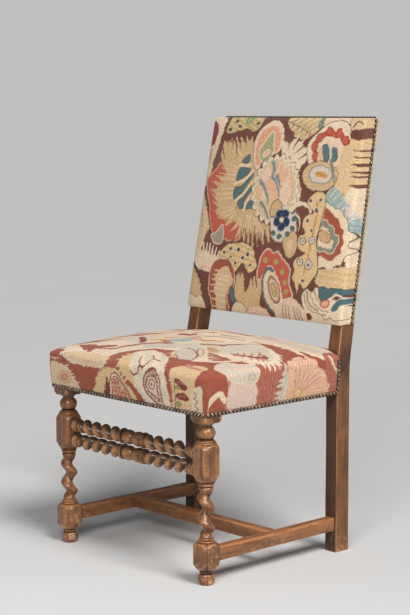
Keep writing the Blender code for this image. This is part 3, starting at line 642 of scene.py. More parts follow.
def oak(grain, dry=False):
    """Oak with its grain along one axis: streaks, pores, stained patches, worn edges, and grooves darkened
    by old wax and painted shade.

    Dry oak has lost most of its wax, so it is paler and duller, with dark lines of open grain.
    """
    name = f"dry_oak_{grain}" if dry else f"waxed_oak_{grain}"
    if name in bpy.data.materials:
        return bpy.data.materials[name]
    look = settings().oak
    finish = Finish(name)
    along = [1.0, 1.0, 1.0]
    along["xyz".index(grain)] = GRAIN_STRETCH
    broad = finish.noise(finish.place(along), 75.0, 4.0, 0.6, 0.9)
    streaks = finish.noise(finish.place(along), 260.0, 5.0, 0.68, 0.5)
    fibres = finish.noise(finish.place(along), 900.0, 3.0, 0.6)
    pores = finish.noise(finish.place(along), 1500.0, 2.0, 0.6).step(0.56, 0.68)
    patches = finish.noise(finish.place(), 15.0, 5.0, 0.62)
    stains = finish.noise(finish.place(), 38.0, 6.0, 0.72, 1.0).step(0.56, 0.72)
    rubbed = finish.noise(finish.place(), 70.0, 5.0, 0.7, 0.6)
    tone = (broad * 0.6 + streaks * 0.6 + patches * 0.5 - 0.35).step(0.22, 0.78)
    colour = finish.blend(tone, look.deep, look.middle)
    faded = (broad * 0.5 + patches * 0.7 + rubbed * 0.5).step(0.80, 1.12)
    colour = finish.blend(faded * 0.6, colour, look.pale)
    if dry:
        colour = finish.blend((0.25 + broad + streaks * 0.5).step(0.62, 1.15), colour, look.dry)
        lines = finish.noise(finish.place(along), 170.0, 4.0, 0.7, 0.4)
        colour = finish.blend(lines.step(0.52, 0.66) * 0.6, colour, look.deep)
    colour = finish.blend(pores * 0.6, colour, look.deep)
    colour = finish.blend(stains * (0.3 if dry else 0.55), colour, look.grime_and_shade)
    wear = finish.attribute("wear") * (rubbed * 1.7)
    colour = finish.blend(wear.step(0.15, 1.0) * 0.6, colour, look.bare if dry else look.pale)
    low = finish.part(finish.place(), "z").step(SCUFF_HEIGHT, 0.0)
    colour = finish.blend((rubbed + low * 0.1).step(0.60, 0.68) * low * 0.5, colour, look.bare)
    colour = finish.blend((stains + patches * 0.4).step(0.25, 0.7) * low * 0.6, colour, look.grime_and_shade)
    # Grooves, and what is laid on them, go towards the old wax colour: old wax and painted shade
    groove = finish.attribute("groove")
    colour = finish.blend((groove * (patches + 0.6)).step(0.04, 0.7) * 0.85, colour, look.grime_and_shade)
    dull = look.roughness + (0.16 if dry else 0.0)
    rough = dull + fibres * 0.16 + groove * 0.25 + stains * 0.14 - wear * 0.08
    height = fibres * 0.5 + streaks * (1.6 if dry else 0.7) - pores * 0.9 + rubbed * 0.8
    return finish.paint(
        Base_Color=colour,
        Roughness=rough,
        Normal=finish.bump(height, 0.0005, 0.6),
        Coat_Weight=look.wax * (0.35 if dry else 1.0),
        Coat_Roughness=0.17,
        Specular_IOR_Level=0.4,
    )


def turned(cuts, total):
    """Levels and radii of a turned stretch, cut by cut, from its base.

    A cut is its shape, its share of the stretch, and its radius at base and at its far end. A
    slope runs straight between the two. A bead is a half circle from the first radius out to the
    second and back, and a cove is one from the first radius in to the second and back. A ball is
    an arc from the first radius out to the second and back. A round is a quarter circle that
    leaves the first radius square and meets the second smoothly, and a shoulder is half a round
    and half a slope.
    """
    whole = sum(share for _, share, _, _ in cuts)
    level = 0.0
    levels, radii = [], []
    for shape, share, start, end in cuts:
        t = np.linspace(0.0, 1.0, CUT_STEPS)
        if shape == "slope":
            rise = t
        elif shape == "round":
            rise = np.sqrt(1 - (1 - t) ** 2)
        elif shape == "shoulder":
            rise = 0.5 * t + 0.5 * np.sqrt(1 - (1 - t) ** 2)
        elif shape == "ball":
            rise = (np.sqrt(end**2 - (2 * t - 1) ** 2 * (end**2 - start**2)) - start) / (end - start)
        else:
            t = 0.5 - 0.5 * np.cos(np.pi * t)
            rise = np.sqrt(np.clip(1 - (2 * t - 1) ** 2, 0, 1))
        high = share / whole * total
        levels.append(level + t * high)
        radii.append(start + (end - start) * rise)
        level += high
    return np.concatenate(levels), np.concatenate(radii)


def still(levels, radii):
    """A turned stretch as rows of level, radius, share of twist and turn: it has no twist."""
    nought = np.zeros_like(levels)
    return np.stack([levels, radii, nought, nought], -1)


def twisted(height, radius, turns, hand):
    """A twist as rows of level, radius, share of twist and turn.

    The twist grows from a plain round of the radius over its first share, and goes back to it over
    the last, while its section turns evenly.
    """
    share = np.linspace(0.0, 1.0, int(turns * TWIST_STEPS) + 1)
    end = np.minimum(share, 1 - share) / TWIST_FADE
    fade = np.where(end < 1, end * end * (3 - 2 * end), 1.0)
    turn = hand * 2 * math.pi * turns * share
    return np.stack([share * height, np.full_like(share, radius), fade, turn], -1)


def stacked(stretches):
    """Rows of one stretch after another, each set on the end and on the turn of the last."""
    level = turn = 0.0
    rows = []
    for height, stretch in stretches:
        rows.append(stretch + [level, 0.0, 0.0, turn])
        level += height
        turn = rows[-1][-1, 3]
    return np.concatenate(rows)


def square_block(height, lower, upper):
    """A square block between two shoulders of the lathe, above which its radius passes its corners."""
    edge = LEG_BLOCK * BLOCK_EDGE
    rise, swell = turned([("shoulder", 1.0, lower[1], edge)], lower[0])
    fall, shrink = turned([("shoulder", 1.0, upper[1], edge)], upper[0])
    plain = np.linspace(lower[0], height - upper[0], 18)[1:-1]
    levels = np.concatenate([rise, plain, height - fall[::-1]])
    return still(levels, np.concatenate([swell, np.full_like(plain, LEG_BLOCK), shrink[::-1]]))


def block_reach(angle, chamfer):
    """Distance from a block's axis to its chamfered outline: the nearer of face and chamfer."""
    half = LEG_BLOCK / 2
    across, along = np.abs(np.cos(angle)), np.abs(np.sin(angle))
    face = half / np.maximum(across, along)
    return np.minimum(face, (2 * half - chamfer) / (across + along))


def rope_reach(angle):
    """Distance from a leg's axis to its twist, a circle of radius r that stands a throw t off the axis.

    It is t cos(a) + sqrt(r * r - (t sin(a)) ** 2), less a crease where the ropes meet.
    """
    look = settings().turning
    aside = look.twist_throw * np.sin(angle)
    away = np.abs(np.arctan2(-np.sin(angle), -np.cos(angle)))
    crease = TWIST_CREASE * np.clip(1 - away / CREASE_WIDTH, 0, 1) ** 2
    return look.twist_throw * np.cos(angle) + np.sqrt(look.twist_radius**2 - aside**2) - crease


def ridge_reach(angle):
    """Distance from a stretcher's axis to its twist: low + (high - low) |cos(a / 2)| ** p.

    That is one full ridge and one sharp valley in each turn.
    """
    look = settings().turning
    return look.rope_low + (look.rope_high - look.rope_low) * np.abs(np.cos(angle / 2)) ** ROPE_ROUND


def leg_angles():
    """Directions round a leg, with close rows at both edges of every chamfer."""
    half = LEG_BLOCK / 2
    edge = math.atan2(half - settings().turning.block_chamfer, half)
    near = [edge - EDGE_STEP, edge, edge + EDGE_STEP]
    near += [math.pi / 2 - angle for angle in reversed(near)]
    plain = np.linspace(0.0, math.pi / 2, LEG_SPOKES, endpoint=False)
    quarter = np.unique(np.concatenate([plain, near]))
    return np.concatenate([quarter + turn * math.pi / 2 for turn in range(4)])


def leg_rows():
    """A front leg from the floor up: foot, block, collar, twist, collar, block, bulb, block."""
    foot = [
        ("ball", 23.0, 0.0158, 0.0192),
        ("cove", 3.0, 0.0138, 0.0124),
        ("bead", 5.5, 0.0132, 0.0158),
        ("slope", 1.0, 0.0136, 0.0170),
    ]
    lower_collar = [
        ("bead", 5.0, 0.0166, 0.0192),
        ("bead", 5.0, 0.0146, 0.0170),
        ("slope", 2.0, 0.0138, 0.0134),
    ]
    upper_collar = [
        ("slope", 1.0, 0.0134, 0.0132),
        ("ball", 8.0, 0.0144, 0.0163),
        ("cove", 2.5, 0.0142, 0.0134),
        ("bead", 5.0, 0.0158, 0.0178),
        ("slope", 3.5, 0.0160, 0.0196),
    ]
    bulb = [
        ("bead", 4.5, 0.0208, 0.0228),
        ("bead", 3.5, 0.0182, 0.0200),
        ("cove", 3.5, 0.0164, 0.0150),
        ("ball", 25.0, 0.0148, 0.0206),
        ("cove", 6.0, 0.0146, 0.0134),
        ("bead", 5.0, 0.0146, 0.0164),
    ]
    return stacked(
        [
            (FOOT, still(*turned(foot, FOOT))),
            (LOWER_BLOCK, square_block(LOWER_BLOCK, *LOWER_SHOULDERS)),
            (LOWER_COLLAR, still(*turned(lower_collar, LOWER_COLLAR))),
            (TWIST_HEIGHT, twisted(TWIST_HEIGHT, TWIST_NECK, TWIST_TURNS, -1)),
            (UPPER_COLLAR, still(*turned(upper_collar, UPPER_COLLAR))),
            (UPPER_BLOCK, square_block(UPPER_BLOCK, *UPPER_SHOULDERS)),
            (BULB, still(*turned(bulb, BULB))),
            (TOP_BLOCK, square_block(TOP_BLOCK, *NO_SHOULDERS)),
        ]
    )


def leg_rings(side):
    """A front leg: at each level the smaller of the turned or twisted reach and the chamfered square.

    The top block has nearly no chamfer, and its lower edge is chipped by a product of two sines. The
    second result is how deep in a valley of the twist each point lies, from nought to one.
    """
    look = settings().turning
    angles = leg_angles()
    level, radius, share, turn = (leg_rows()[:, k, None] for k in range(4))
    heading = angles + turn
    base = LEG_TOP - TOP_BLOCK
    chamfer = np.where(level < base, look.block_chamfer, TOP_CHAMFER * look.block_chamfer)
    reach = radius + share * (rope_reach(angles - math.radians(look.twist_start)) - radius)
    reach = np.minimum(reach, block_reach(heading, chamfer))
    edge = np.clip(1 - (level - base) / CHIP_HEIGHT, 0, 1) ** 2 * (level >= base) * (radius > LEG_BLOCK / 2)
    chips = np.clip(np.sin(11 * heading + 1.3 + side) * np.sin(17 * heading + 0.4) + 0.3, 0, 1)
    reach = reach - CHIP_DEPTH * edge * chips
    x = side * LEG_AXIS[0] + reach * np.cos(heading)
    y = LEG_AXIS[1] + reach * np.sin(heading)
    valley = share * np.clip(1 - (reach - reach[share[:, 0] > 0.9].min()) / VALLEY, 0, 1)
    return narrowed(np.stack([x, y, level + 0.0 * x], -1)), valley


def rope_rings(level, hand):
    """A twist stretcher along X: end ring, twist, disc and bobbin, then the same again mirrored.

    The second result is how much each point is darkened: in the valleys by wax and painted shade, on the
    discs, and on top by painted shade where the seat shadows the rail.
    """
    look = settings().turning
    end = [
        ("round", 2.5, 0.0118, 0.0146),
        ("ball", 9.5, 0.0138, look.bobbin_radius),
        ("cove", 2.0, 0.0136, 0.0126),
        ("bead", 4.5, 0.0132, 0.0156),
        ("slope", 1.5, 0.0126, 0.0124),
    ]
    disc = [
        ("slope", 0.8, 0.0126, 0.0128),
        ("bead", 2.0, 0.0134, 0.0156),
        ("bead", 3.0, 0.0140, look.collar_radius),
        ("slope", 1.2, 0.0128, 0.0124),
    ]
    bobbin = [("ball", 32.0, 0.0098, look.bobbin_radius), ("slope", 1.0, 0.0096, 0.0096)]
    inner = LEG_AXIS[0] - LEG_BLOCK / 2 - CLEARANCE
    run = inner - ROPE_END - ROPE_COLLAR - BOBBIN
    half = stacked(
        [
            (ROPE_END, still(*turned(end, ROPE_END))),
            (run, twisted(run, ROPE_NECK, ROPE_TURNS, hand)),
            (ROPE_COLLAR, still(*turned(disc, ROPE_COLLAR))),
            (BOBBIN, still(*turned(bobbin, BOBBIN))),
        ]
    )
    other = half[::-1] * [-1.0, 1.0, 1.0, -1.0]
    rows = np.concatenate([half - [inner, 0, 0, 0], other + [inner, 0, 0, 0]])
    spokes = np.linspace(0.0, 2 * math.pi, ROPE_SPOKES, endpoint=False)
    across, radius, share, turn = (rows[:, k, None] for k in range(4))
    reach = radius + share * (ridge_reach(spokes) - radius)
    y = LEG_AXIS[1] - reach * np.cos(spokes + turn)
    z = level + reach * np.sin(spokes + turn)
    valley = share * np.clip(1 - (reach - look.rope_low) / VALLEY, 0, 1)
    valley = valley + 0.5 * (radius > look.bobbin_radius)
    # Painted shade: the rail is darker towards its top, where the seat above shadows it
    valley = valley + 0.45 * np.clip((z - level) / look.bobbin_radius, 0, 1)
    return narrowed(np.stack([across + 0.0 * y, y, z], -1)), valley


def rounded_outline(width, depth, radii):
    """A rectangle's outline round the middle, with an arc of its own radius at each corner.

    The radii go round from the corner at (+, +) to (-, +), (-, -) and (+, -).
    """
    signs = ((1, 1), (-1, 1), (-1, -1), (1, -1))
    arcs = []
    for quarter, ((across, along), radius) in enumerate(zip(signs, radii)):
        angle = quarter * math.pi / 2 + np.linspace(0.0, math.pi / 2, ARC_STEPS)
        x = across * (width / 2 - radius) + radius * np.cos(angle)
        y = along * (depth / 2 - radius) + radius * np.sin(angle)
        arcs.append(np.stack([x, y], -1))
    loop = np.concatenate(arcs)
    closed = np.concatenate([loop, loop[:1]])
    fill = closed[:-1, None] + (closed[1:] - closed[:-1])[:, None] * np.linspace(0, 1, 3)[None, :2, None]
    return fill.reshape(-1, 2)


def waney(levels, seed, depth):
    """Slow unevenness of a hand-planed face along its length: a few sines of seeded phase."""
    phases = np.random.default_rng(seed).uniform(0, 2 * math.pi, 4)
    lengths = np.array([0.31, 0.17, 0.093, 0.052])
    waves = np.sin(levels[:, None] / lengths * 2 * math.pi + phases)
    return depth * (waves * lengths).sum(1) / lengths.sum()


def post_rings(side):
    """A rear post: a rounded rectangle carried up the bent and leaning line of the post."""
    sizes = settings().frame
    outline = rounded_outline(sizes.post_width, sizes.post_depth, [sizes.arris] * 4)
    ease, slimmer = POST_EASE
    levels = np.concatenate([[0.0, ease], np.linspace(0.004, POST_TOP - 0.002, POST_STEPS), [POST_TOP]])
    swell = 1 + waney(levels, 3 + side, POST_WANE)
    swell[0] -= slimmer
    x = side * (HALF_WIDTH - sizes.post_width / 2) + outline[None, :, 0] * swell[:, None]
    y = POST_FACE + sizes.post_depth / 2 + outline[None, :, 1] * swell[:, None]
    return narrowed(leaned(np.stack([x, y, levels[:, None] + 0.0 * x], -1)))


def stretcher_rings(start, end, height, seed, axis):
    """A low stretcher from start to end: chamfered above, a little rounded below, worn on top."""
    sizes = settings().frame
    radii = (sizes.chamfer, sizes.chamfer, STRETCHER_ROUND, STRETCHER_ROUND)
    outline = rounded_outline(sizes.stretcher_width, height, radii)
    run = np.linspace(0.0, 1.0, STRETCHER_STEPS)
    span = np.asarray(end) - np.asarray(start)
    middle = np.asarray(start) + run[:, None] * span
    swell = 1 + waney(run * np.linalg.norm(span), seed, STRETCHER_WANE)[:, None]
    rings = np.repeat(middle[:, None], len(outline), 1)
    rings[..., 1 - axis] += outline[None, :, 0] * swell
    rings[..., 2] += outline[None, :, 1] * swell
    return narrowed(rings)


def peg_rods(nodes):
    """Riven pegs: an eight-sided rod in each peg's place, with a low domed head at its outer end."""
    spokes = np.linspace(0.0, 2 * math.pi, 8, endpoint=False)
    shape = ((0.0, 1.0), (0.97, 1.0), (1.0, 0.86), (1.012, 0.45))
    points, groups = [], []
    for node in nodes:
        low, high = corners(node)
        size = high - low
        axis = int(np.argmax(size))
        inner, outer = (low, high) if abs(high[axis]) > abs(low[axis]) else (high, low)
        middle = (low + high) / 2
        others = [k for k in range(3) if k != axis]
        radius = min(size[others[0]], size[others[1]]) / 2
        rings = np.zeros((len(shape), len(spokes), 3)) + middle
        for ring, (share, width) in zip(rings, shape):
            ring[:, axis] = inner[axis] + share * (outer[axis] - inner[axis])
            ring[:, others[0]] += radius * width * np.cos(spokes)
            ring[:, others[1]] += radius * width * np.sin(spokes)
        rod, faces = tube(rings)
        offset = sum(len(part) for part in points)
        points.append(rod)
        groups.append([group + offset for group in faces])
    return np.concatenate(points), [np.concatenate(kind) for kind in zip(*groups)]


def wool(name):
    """A wool's colour in linear light."""
    share = np.array(WOOLS[name]) / 255
    return np.where(share <= 0.04045, share / 12.92, ((share + 0.055) / 1.055) ** 2.4)


def smooth_curve(points, closed):
    """Points of a Catmull-Rom curve through a few given points."""
    knots = np.asarray(points, float)
    if closed:
        before, start, after, beyond = (np.roll(knots, k, 0) for k in (1, 0, -1, -2))
    else:
        ends = [2 * knots[:1] - knots[1:2], knots, 2 * knots[-1:] - knots[-2:-1]]
        row = np.concatenate(ends)
        before, start, after, beyond = row[:-3], row[1:-2], row[2:-1], row[3:]
    before, start, after, beyond = (part[:, None] for part in (before, start, after, beyond))
    t = np.linspace(0.0, 1.0, CURVE_STEPS, endpoint=False)[None, :, None]
    square = 2 * before - 5 * start + 4 * after - beyond
    cube = 3 * start - before - 3 * after + beyond
    curve = 0.5 * (2 * start + (after - before) * t + square * t**2 + cube * t**3)
    curve = curve.reshape(-1, 2)
    return curve if closed else np.concatenate([curve, knots[-1:]])


def line_distance(places, curve):
    """Distance from places to a line, and how far along the line the nearest point is, 0 to 1."""
    best = np.full(len(places), np.inf)
    share = np.zeros(len(places))
    steps = len(curve) - 1
    for k in range(steps):
        span = curve[k + 1] - curve[k]
        t = np.clip((places - curve[k]) @ span / max(span @ span, 1e-9), 0, 1)
        gap = np.linalg.norm(places - curve[k] - t[:, None] * span, axis=1)
        nearer = gap < best
        best = np.where(nearer, gap, best)
        share = np.where(nearer, (k + t) / steps, share)
    return best, share


def inside_curve(places, curve):
    """Which places a closed line goes round: a ray from one of them crosses it an odd number of times."""
    odd = np.zeros(len(places), bool)
    for (x0, y0), (x1, y1) in zip(curve, np.roll(curve, -1, 0)):
        crosses = (places[:, 1] > y0) != (places[:, 1] > y1)
        reach = x0 + (places[:, 1] - y0) * (x1 - x0) / (y1 - y0 if y1 != y0 else 1.0)
        odd ^= crosses & (places[:, 0] < reach)
    return odd


def uneven(row, run):
    """A number from -1 to 1 for each row and run of stitches: the fraction of a large sine."""
    return 2 * np.mod(np.sin(row * 12.9898 + run * 78.233) * 43758.5453, 1.0) - 1


class Canvas:
    """A needlework canvas: shapes of wool laid over each other, on places in millimetres."""

    def __init__(self, places, ground):
        self.places, self.ragged = places.copy(), np.zeros_like(places)
        for k in (0, 1):
            other = places[:, 1 - k]
            waves = np.sin(other / 7.3 + k) + np.sin(places.sum(1) / 3.7 + 2 * k)
            self.places[:, k] += HAND_WANDER * waves
            row, run = np.floor(other / STITCH_ROW), np.floor(places[:, k] / STITCH_RUN)
            self.ragged[:, k] = RAGGED[k] * uneven(row, run)
        self.colour = np.tile(wool(ground), (len(places), 1))

    def near(self, points, margin, neat=True):
        """Numbers of the places in the box round some points, and those places, stepped unless neat."""
        low, high = np.min(points, 0) - margin, np.max(points, 0) + margin
        chosen = np.flatnonzero(np.all((self.places > low) & (self.places < high), 1))
        return chosen, self.places[chosen] + (0 if neat else self.ragged[chosen])

    def lay(self, chosen, distance, name, share=1.0):
        """Covers the chosen places with a wool, softly at the edge, where the distance is below nought."""
        cover = np.clip(0.5 - distance / SOFT_EDGE, 0, 1)[:, None] * share
        self.colour[chosen] += cover * (wool(name) - self.colour[chosen])

    def border(self, chosen, distance, edge):
        """A line of another wool along a shape's edge."""
        if edge:
            name, width = edge
            self.lay(chosen, np.abs(distance) - width / 2, name)

    def oval(self, centre, size, name, turn=0.0, lobes=0, depth=0.0, edge=None):
        """An ellipse, with a scalloped edge where it has lobes.

        With q the place over the half sizes, the distance is (|q| - 1 - depth * (|cos| - 1)) times the
        smaller half size, where the cosine goes round once for every two lobes.
        """
        chosen, places = self.near([centre], max(size) * 1.1 + CLOSE)
        lean = math.radians(turn)
        x, y = (places - centre).T
        across = (x * math.cos(lean) + y * math.sin(lean)) / size[0]
        along = (y * math.cos(lean) - x * math.sin(lean)) / size[1]
        scallop = depth * (np.abs(np.cos(np.arctan2(along, across) * lobes / 2)) - 1)
        distance = (np.hypot(across, along) - 1 - scallop) * min(size)
        self.lay(chosen, distance, name)
        self.border(chosen, distance, edge)

    def dots(self, centres, size, name, edge=None):
        """Equal ovals at several places."""
        for centre in centres:
            self.oval(centre, size, name, edge=edge)

    def patch(self, points, name, edge=None, hatch=None):
        """A shape inside a smooth closed curve, with stripes of a second wool where it is hatched.

        A hatch is its wool, the spacing of its stripes, their share of that spacing and their slope. The
        curve's edge is ragged unless a line goes along it.
        """
        curve = smooth_curve(points, True)
        chosen, places = self.near(curve, CLOSE, edge)
        gap, _ = line_distance(places, np.concatenate([curve, curve[:1]]))
        distance = np.where(inside_curve(places, curve), -gap, gap)
        self.lay(chosen, distance, name)
        if hatch:
            second, spacing, part, slope = hatch
            angle = math.radians(slope)
            run = (places @ np.array([-math.sin(angle), math.cos(angle)])) / spacing
            stripe = (np.abs(run - np.round(run)) - part / 2) * spacing
            self.lay(chosen, np.maximum(distance + HATCH_INSET, stripe), second, HATCH_COVER)
        self.border(chosen, distance, edge)

    def stroke(self, points, name, width, end=None):
        """A smooth line through a few points, whose width goes evenly to another at its end."""
        curve = smooth_curve(points, False)
        end = width if end is None else end
        chosen, places = self.near(curve, max(width, end) + CLOSE)
        gap, share = line_distance(places, curve)
        self.lay(chosen, gap - (width + (end - width) * share) / 2, name)

    def fingers(self, roots, tips, count, name, width, end):
        """Tapering strokes from even shares of one curve to even shares of another."""
        root_line, tip_line = smooth_curve(roots, False), smooth_curve(tips, False)
        for share in np.linspace(0.0, 1.0, count):
            root = root_line[int(round(share * (len(root_line) - 1)))]
            tip = tip_line[int(round(share * (len(tip_line) - 1)))]
            self.stroke((root, tip), name, width, end)


def back_corner_leaves(cloth):
    """Leaves of the back's top edge and left edge."""
    cloth.patch(
        [(-6, -6), (50, -6), (46, 40), (37, 78), (28, 105), (24, 135), (10, 168), (-6, 150)],
        "cream", hatch=("sand", 9, 0.35, 80),
    )
    cloth.patch([(-6, 14), (18, 12), (28, 26), (27, 52), (18, 68), (-6, 70)], "crimson", ("blush", 3))
    cloth.patch([(-6, 80), (10, 82), (12, 100), (2, 118), (-6, 116)], "rose")
    top = [
        (58, 34), (64, 14), (80, -4), (182, -6), (190, 8), (180, 27), (158, 34), (138, 28), (104, 34),
        (78, 40),
    ]
    cloth.patch(top, "olive_tan", ("ink", 2), ("sand", 11, 0.4, 20))
    cloth.dots([(93, 9), (172, 14), (108, 21), (74, 28)], (6, 3.6), "ink")
    cloth.oval((138, 6), (11, 9), "sage", edge=("ink", 1.5))
    middle = [
        (276, 8), (300, -4), (396, -6), (402, 14), (384, 32), (366, 44), (340, 52), (314, 46), (294, 30),
    ]
    cloth.patch(middle, "sand", ("ink", 1.8), ("olive_tan", 12, 0.45, -25))
    cloth.stroke([(280, 9), (320, 21), (364, 36)], "ink", 2.2, 1.4)
    for x, y in ((298, 14), (316, 20), (334, 26), (350, 31)):
        cloth.stroke([(x, y), (x + 5, y - 7), (x + 12, y - 11)], "ink", 1.8, 1.2)
        cloth.stroke([(x, y), (x - 1, y + 7), (x - 5, y + 12)], "ink", 1.8, 1.2)
    cloth.oval((393, 12), (9, 15), "grey_green", 15)
    cloth.oval((362, 40), (6, 4), "rose")
    cloth.patch([(402, 6), (424, -6), (490, -6), (484, 14), (466, 24), (430, 20), (410, 30)], "blush")
    cloth.patch([(488, 8), (500, -6), (536, -6), (536, 30), (512, 34), (494, 26)], "sand", ("ink", 1.5))
    cloth.stroke([(500, 20), (512, 8), (526, 14)], "ink", 3)
    low = [
        (-6, 202), (10, 196), (22, 214), (36, 236), (46, 256), (50, 276), (37, 300), (34, 318), (-6, 330),
    ]
    cloth.patch(low, "sand", hatch=("cream", 10, 0.4, 60))
    cloth.stroke([(-4, 222), (14, 246), (24, 290)], "ochre", 4, 2)


def fan_leaf(cloth):
    """The large fan of feathered leaf on the back's left, in its coral rim."""
    rim = [
        (62, 112), (48, 124), (30, 138), (12, 156), (18, 178), (30, 200), (42, 224), (50, 250), (60, 272),
        (74, 284), (96, 280), (112, 292), (132, 299), (158, 297), (182, 284), (160, 256), (100, 220),
        (96, 140),
    ]
    cloth.patch(rim, "coral", ("salmon", 4))
    fan = [
        (54, 92), (60, 66), (76, 60), (100, 63), (128, 60), (150, 55), (172, 62), (186, 95), (204, 122),
        (216, 200), (232, 252), (264, 262), (240, 276), (200, 274), (168, 260), (146, 252), (124, 246),
        (100, 250), (80, 244), (70, 222), (62, 202), (58, 180), (66, 156), (84, 138), (66, 112),
    ]
    cloth.patch(fan, "tan")
    cloth.fingers([(84, 92), (130, 86), (172, 84)], [(62, 60), (104, 50), (162, 48)], 7, "tan", 15, 6)
    cloth.fingers(
        [(180, 256), (222, 256), (264, 258)], [(172, 290), (222, 307), (278, 292)], 7, "tan", 16, 6
    )
    tips = [
        ((92, 116), (58, 102)), ((84, 150), (50, 144)), ((76, 168), (38, 158)), ((72, 186), (34, 178)),
        ((76, 204), (46, 190)), ((84, 222), (54, 208)), ((96, 240), (64, 228)), ((132, 250), (112, 262)),
        ((152, 262), (136, 276)), ((172, 268), (158, 290)),
    ]
    for tip in tips:
        cloth.stroke(tip, "tan", 14, 3)
    spikes = [
        ((54, 124), (98, 140)), ((40, 148), (80, 161)), ((32, 168), (56, 176)), ((44, 196), (70, 207)),
        ((52, 214), (76, 221)), ((60, 238), (90, 242)), ((100, 258), (124, 246)),
        ((132, 270), (156, 252)), ((150, 284), (168, 264)),
    ]
    for spike in spikes:
        cloth.stroke(spike, "coral", 9, 1)
    cloth.fingers(
        [(140, 96), (122, 150), (130, 214), (172, 246)], [(98, 66), (56, 150), (76, 226), (160, 282)], 15,
        "oat", 4, 1.5,
    )
    cloth.fingers([(190, 236), (226, 240)], [(186, 284), (264, 290)], 6, "oat", 4, 2)
    slits = [
        ((74, 48), (78, 68)), ((91, 50), (96, 74)), ((106, 58), (117, 98)), ((121, 56), (125, 76)),
        ((138, 48), (145, 70)), ((56, 76), (72, 101)), ((50, 94), (62, 106)), ((196, 286), (185, 264)),
        ((213, 296), (204, 266)), ((225, 296), (221, 258)), ((241, 302), (238, 272)),
        ((262, 294), (258, 266)), ((178, 290), (174, 270)),
    ]
    for slit in slits:
        cloth.stroke(slit, "maroon", 6, 1.5)
    cloth.patch(
        [(64, 290), (82, 280), (100, 262), (108, 272), (112, 290), (104, 308), (80, 308)], "stone",
        ("blush", 3),
    )
    cloth.oval((148, 299), (6, 4), "plum")
    wedges = [
        [(140, 108), (158, 90), (169, 91), (166, 108)],
        [(137, 123), (174, 123), (172, 134), (150, 148), (131, 152)],
        [(127, 172), (150, 165), (176, 145), (190, 134), (190, 143), (168, 167), (150, 190), (131, 198)],
        [(146, 206), (166, 190), (188, 165), (190, 178), (172, 202), (168, 218), (154, 219)],
        [(186, 203), (212, 200), (206, 216), (181, 220)],
    ]
    for wedge in wedges:
        cloth.patch(wedge, "teal", ("ink", 1.6), ("slate", 8, 0.3, -40))
    cloth.stroke([(126, 160), (158, 152), (188, 128)], "cream", 7, 5)
    cloth.stroke([(138, 202), (166, 180), (192, 154)], "cream", 7, 5)
    cloth.stroke([(172, 224), (180, 204), (196, 184)], "cream", 6, 4)
    cloth.stroke([(134, 116), (160, 116), (180, 112)], "cream", 7, 4)
    cloth.oval((144, 219), (4, 3), "stone")


def salmon_leaf(cloth):
    """The salmon leaf with a green heart at the top of the back."""
    outer = [
        (174, 62), (182, 35), (205, 14), (230, 6), (256, 11), (272, 30), (277, 56), (268, 80), (242, 90),
        (216, 106), (206, 126), (190, 120), (179, 95),
    ]
    cloth.patch(outer, "blush", ("ink", 1.6))
    inner = [
        (184, 66), (194, 38), (219, 22), (246, 23), (264, 44), (263, 72), (240, 86), (220, 100),
        (205, 114), (190, 106),
    ]
    cloth.patch(inner, "salmon", hatch=("peach", 9, 0.35, 55))
    heart = [
        (197, 78), (211, 58), (222, 44), (233, 32), (241, 44), (246, 68), (246, 86), (234, 102),
        (220, 106), (204, 97),
    ]
    cloth.patch(heart, "sage", ("cream", 3.5), ("olive_tan", 8, 0.35, 60))
    cloth.oval((223, 85), (12, 7), "peach", -20, edge=("cream", 2.5))


def scalloped_flower(cloth):
    """The large scalloped flower at the middle of the back, and the feathers that leave it."""
    feathers = [
        (268, 60), (290, 54), (318, 51), (345, 61), (362, 80), (366, 100), (352, 112), (346, 126),
        (353, 150), (363, 172), (360, 196), (345, 206), (320, 190), (292, 110),
    ]
    cloth.patch(feathers, "cream")
    cloth.fingers([(292, 74), (318, 84), (338, 104)], [(300, 44), (348, 50), (372, 92)], 5, "cream", 12, 4)
    gaps = [((330, 50), (312, 74)), ((350, 64), (322, 84)), ((362, 84), (336, 98)), ((300, 54), (296, 76))]
    for gap in gaps:
        cloth.stroke(gap, "maroon", 5, 1.5)
    cloth.patch([(276, 32), (296, 28), (310, 40), (306, 56), (286, 58), (277, 48)], "maroon")
    cloth.oval((274, 170), (84, 86), "cream", 0, 22, 0.14, ("ink", 2))
    cloth.oval((274, 170), (70, 72), "sand", 0, 22, 0.12, ("stone", 1.6))
    cloth.oval((274, 172), (58, 62), "peach", 0, 16, 0.10)
    cloth.oval((236, 137), (15, 20), "blush", 30)
    cloth.oval((294, 130), (19, 26), "peach", -20, edge=("cream", 3))
    cloth.oval((242, 189), (12, 17), "blush", -30)
    cloth.oval((310, 182), (16, 24), "blush", 12, edge=("cream", 3))
    cloth.oval((262, 205), (20, 24), "sand", -20)
    flames = [
        [(254, 106), (262, 122), (258, 138), (274, 152), (284, 170), (292, 186)],
        [(220, 152), (234, 164), (244, 178), (254, 190), (256, 206)],
        [(232, 204), (246, 214), (256, 226), (268, 240)],
        [(274, 138), (284, 150), (290, 162)],
    ]
    for flame in flames:
        cloth.stroke(flame, "grey_blue", 12, 4)
        cloth.stroke(flame, "slate", 4, 2)
    for root, tip in (
        ((300, 108), (290, 130)), ((322, 150), (302, 158)), ((326, 206), (306, 198)),
        ((284, 226), (282, 208)),
    ):
        cloth.stroke((root, tip), "cream", 5, 2)


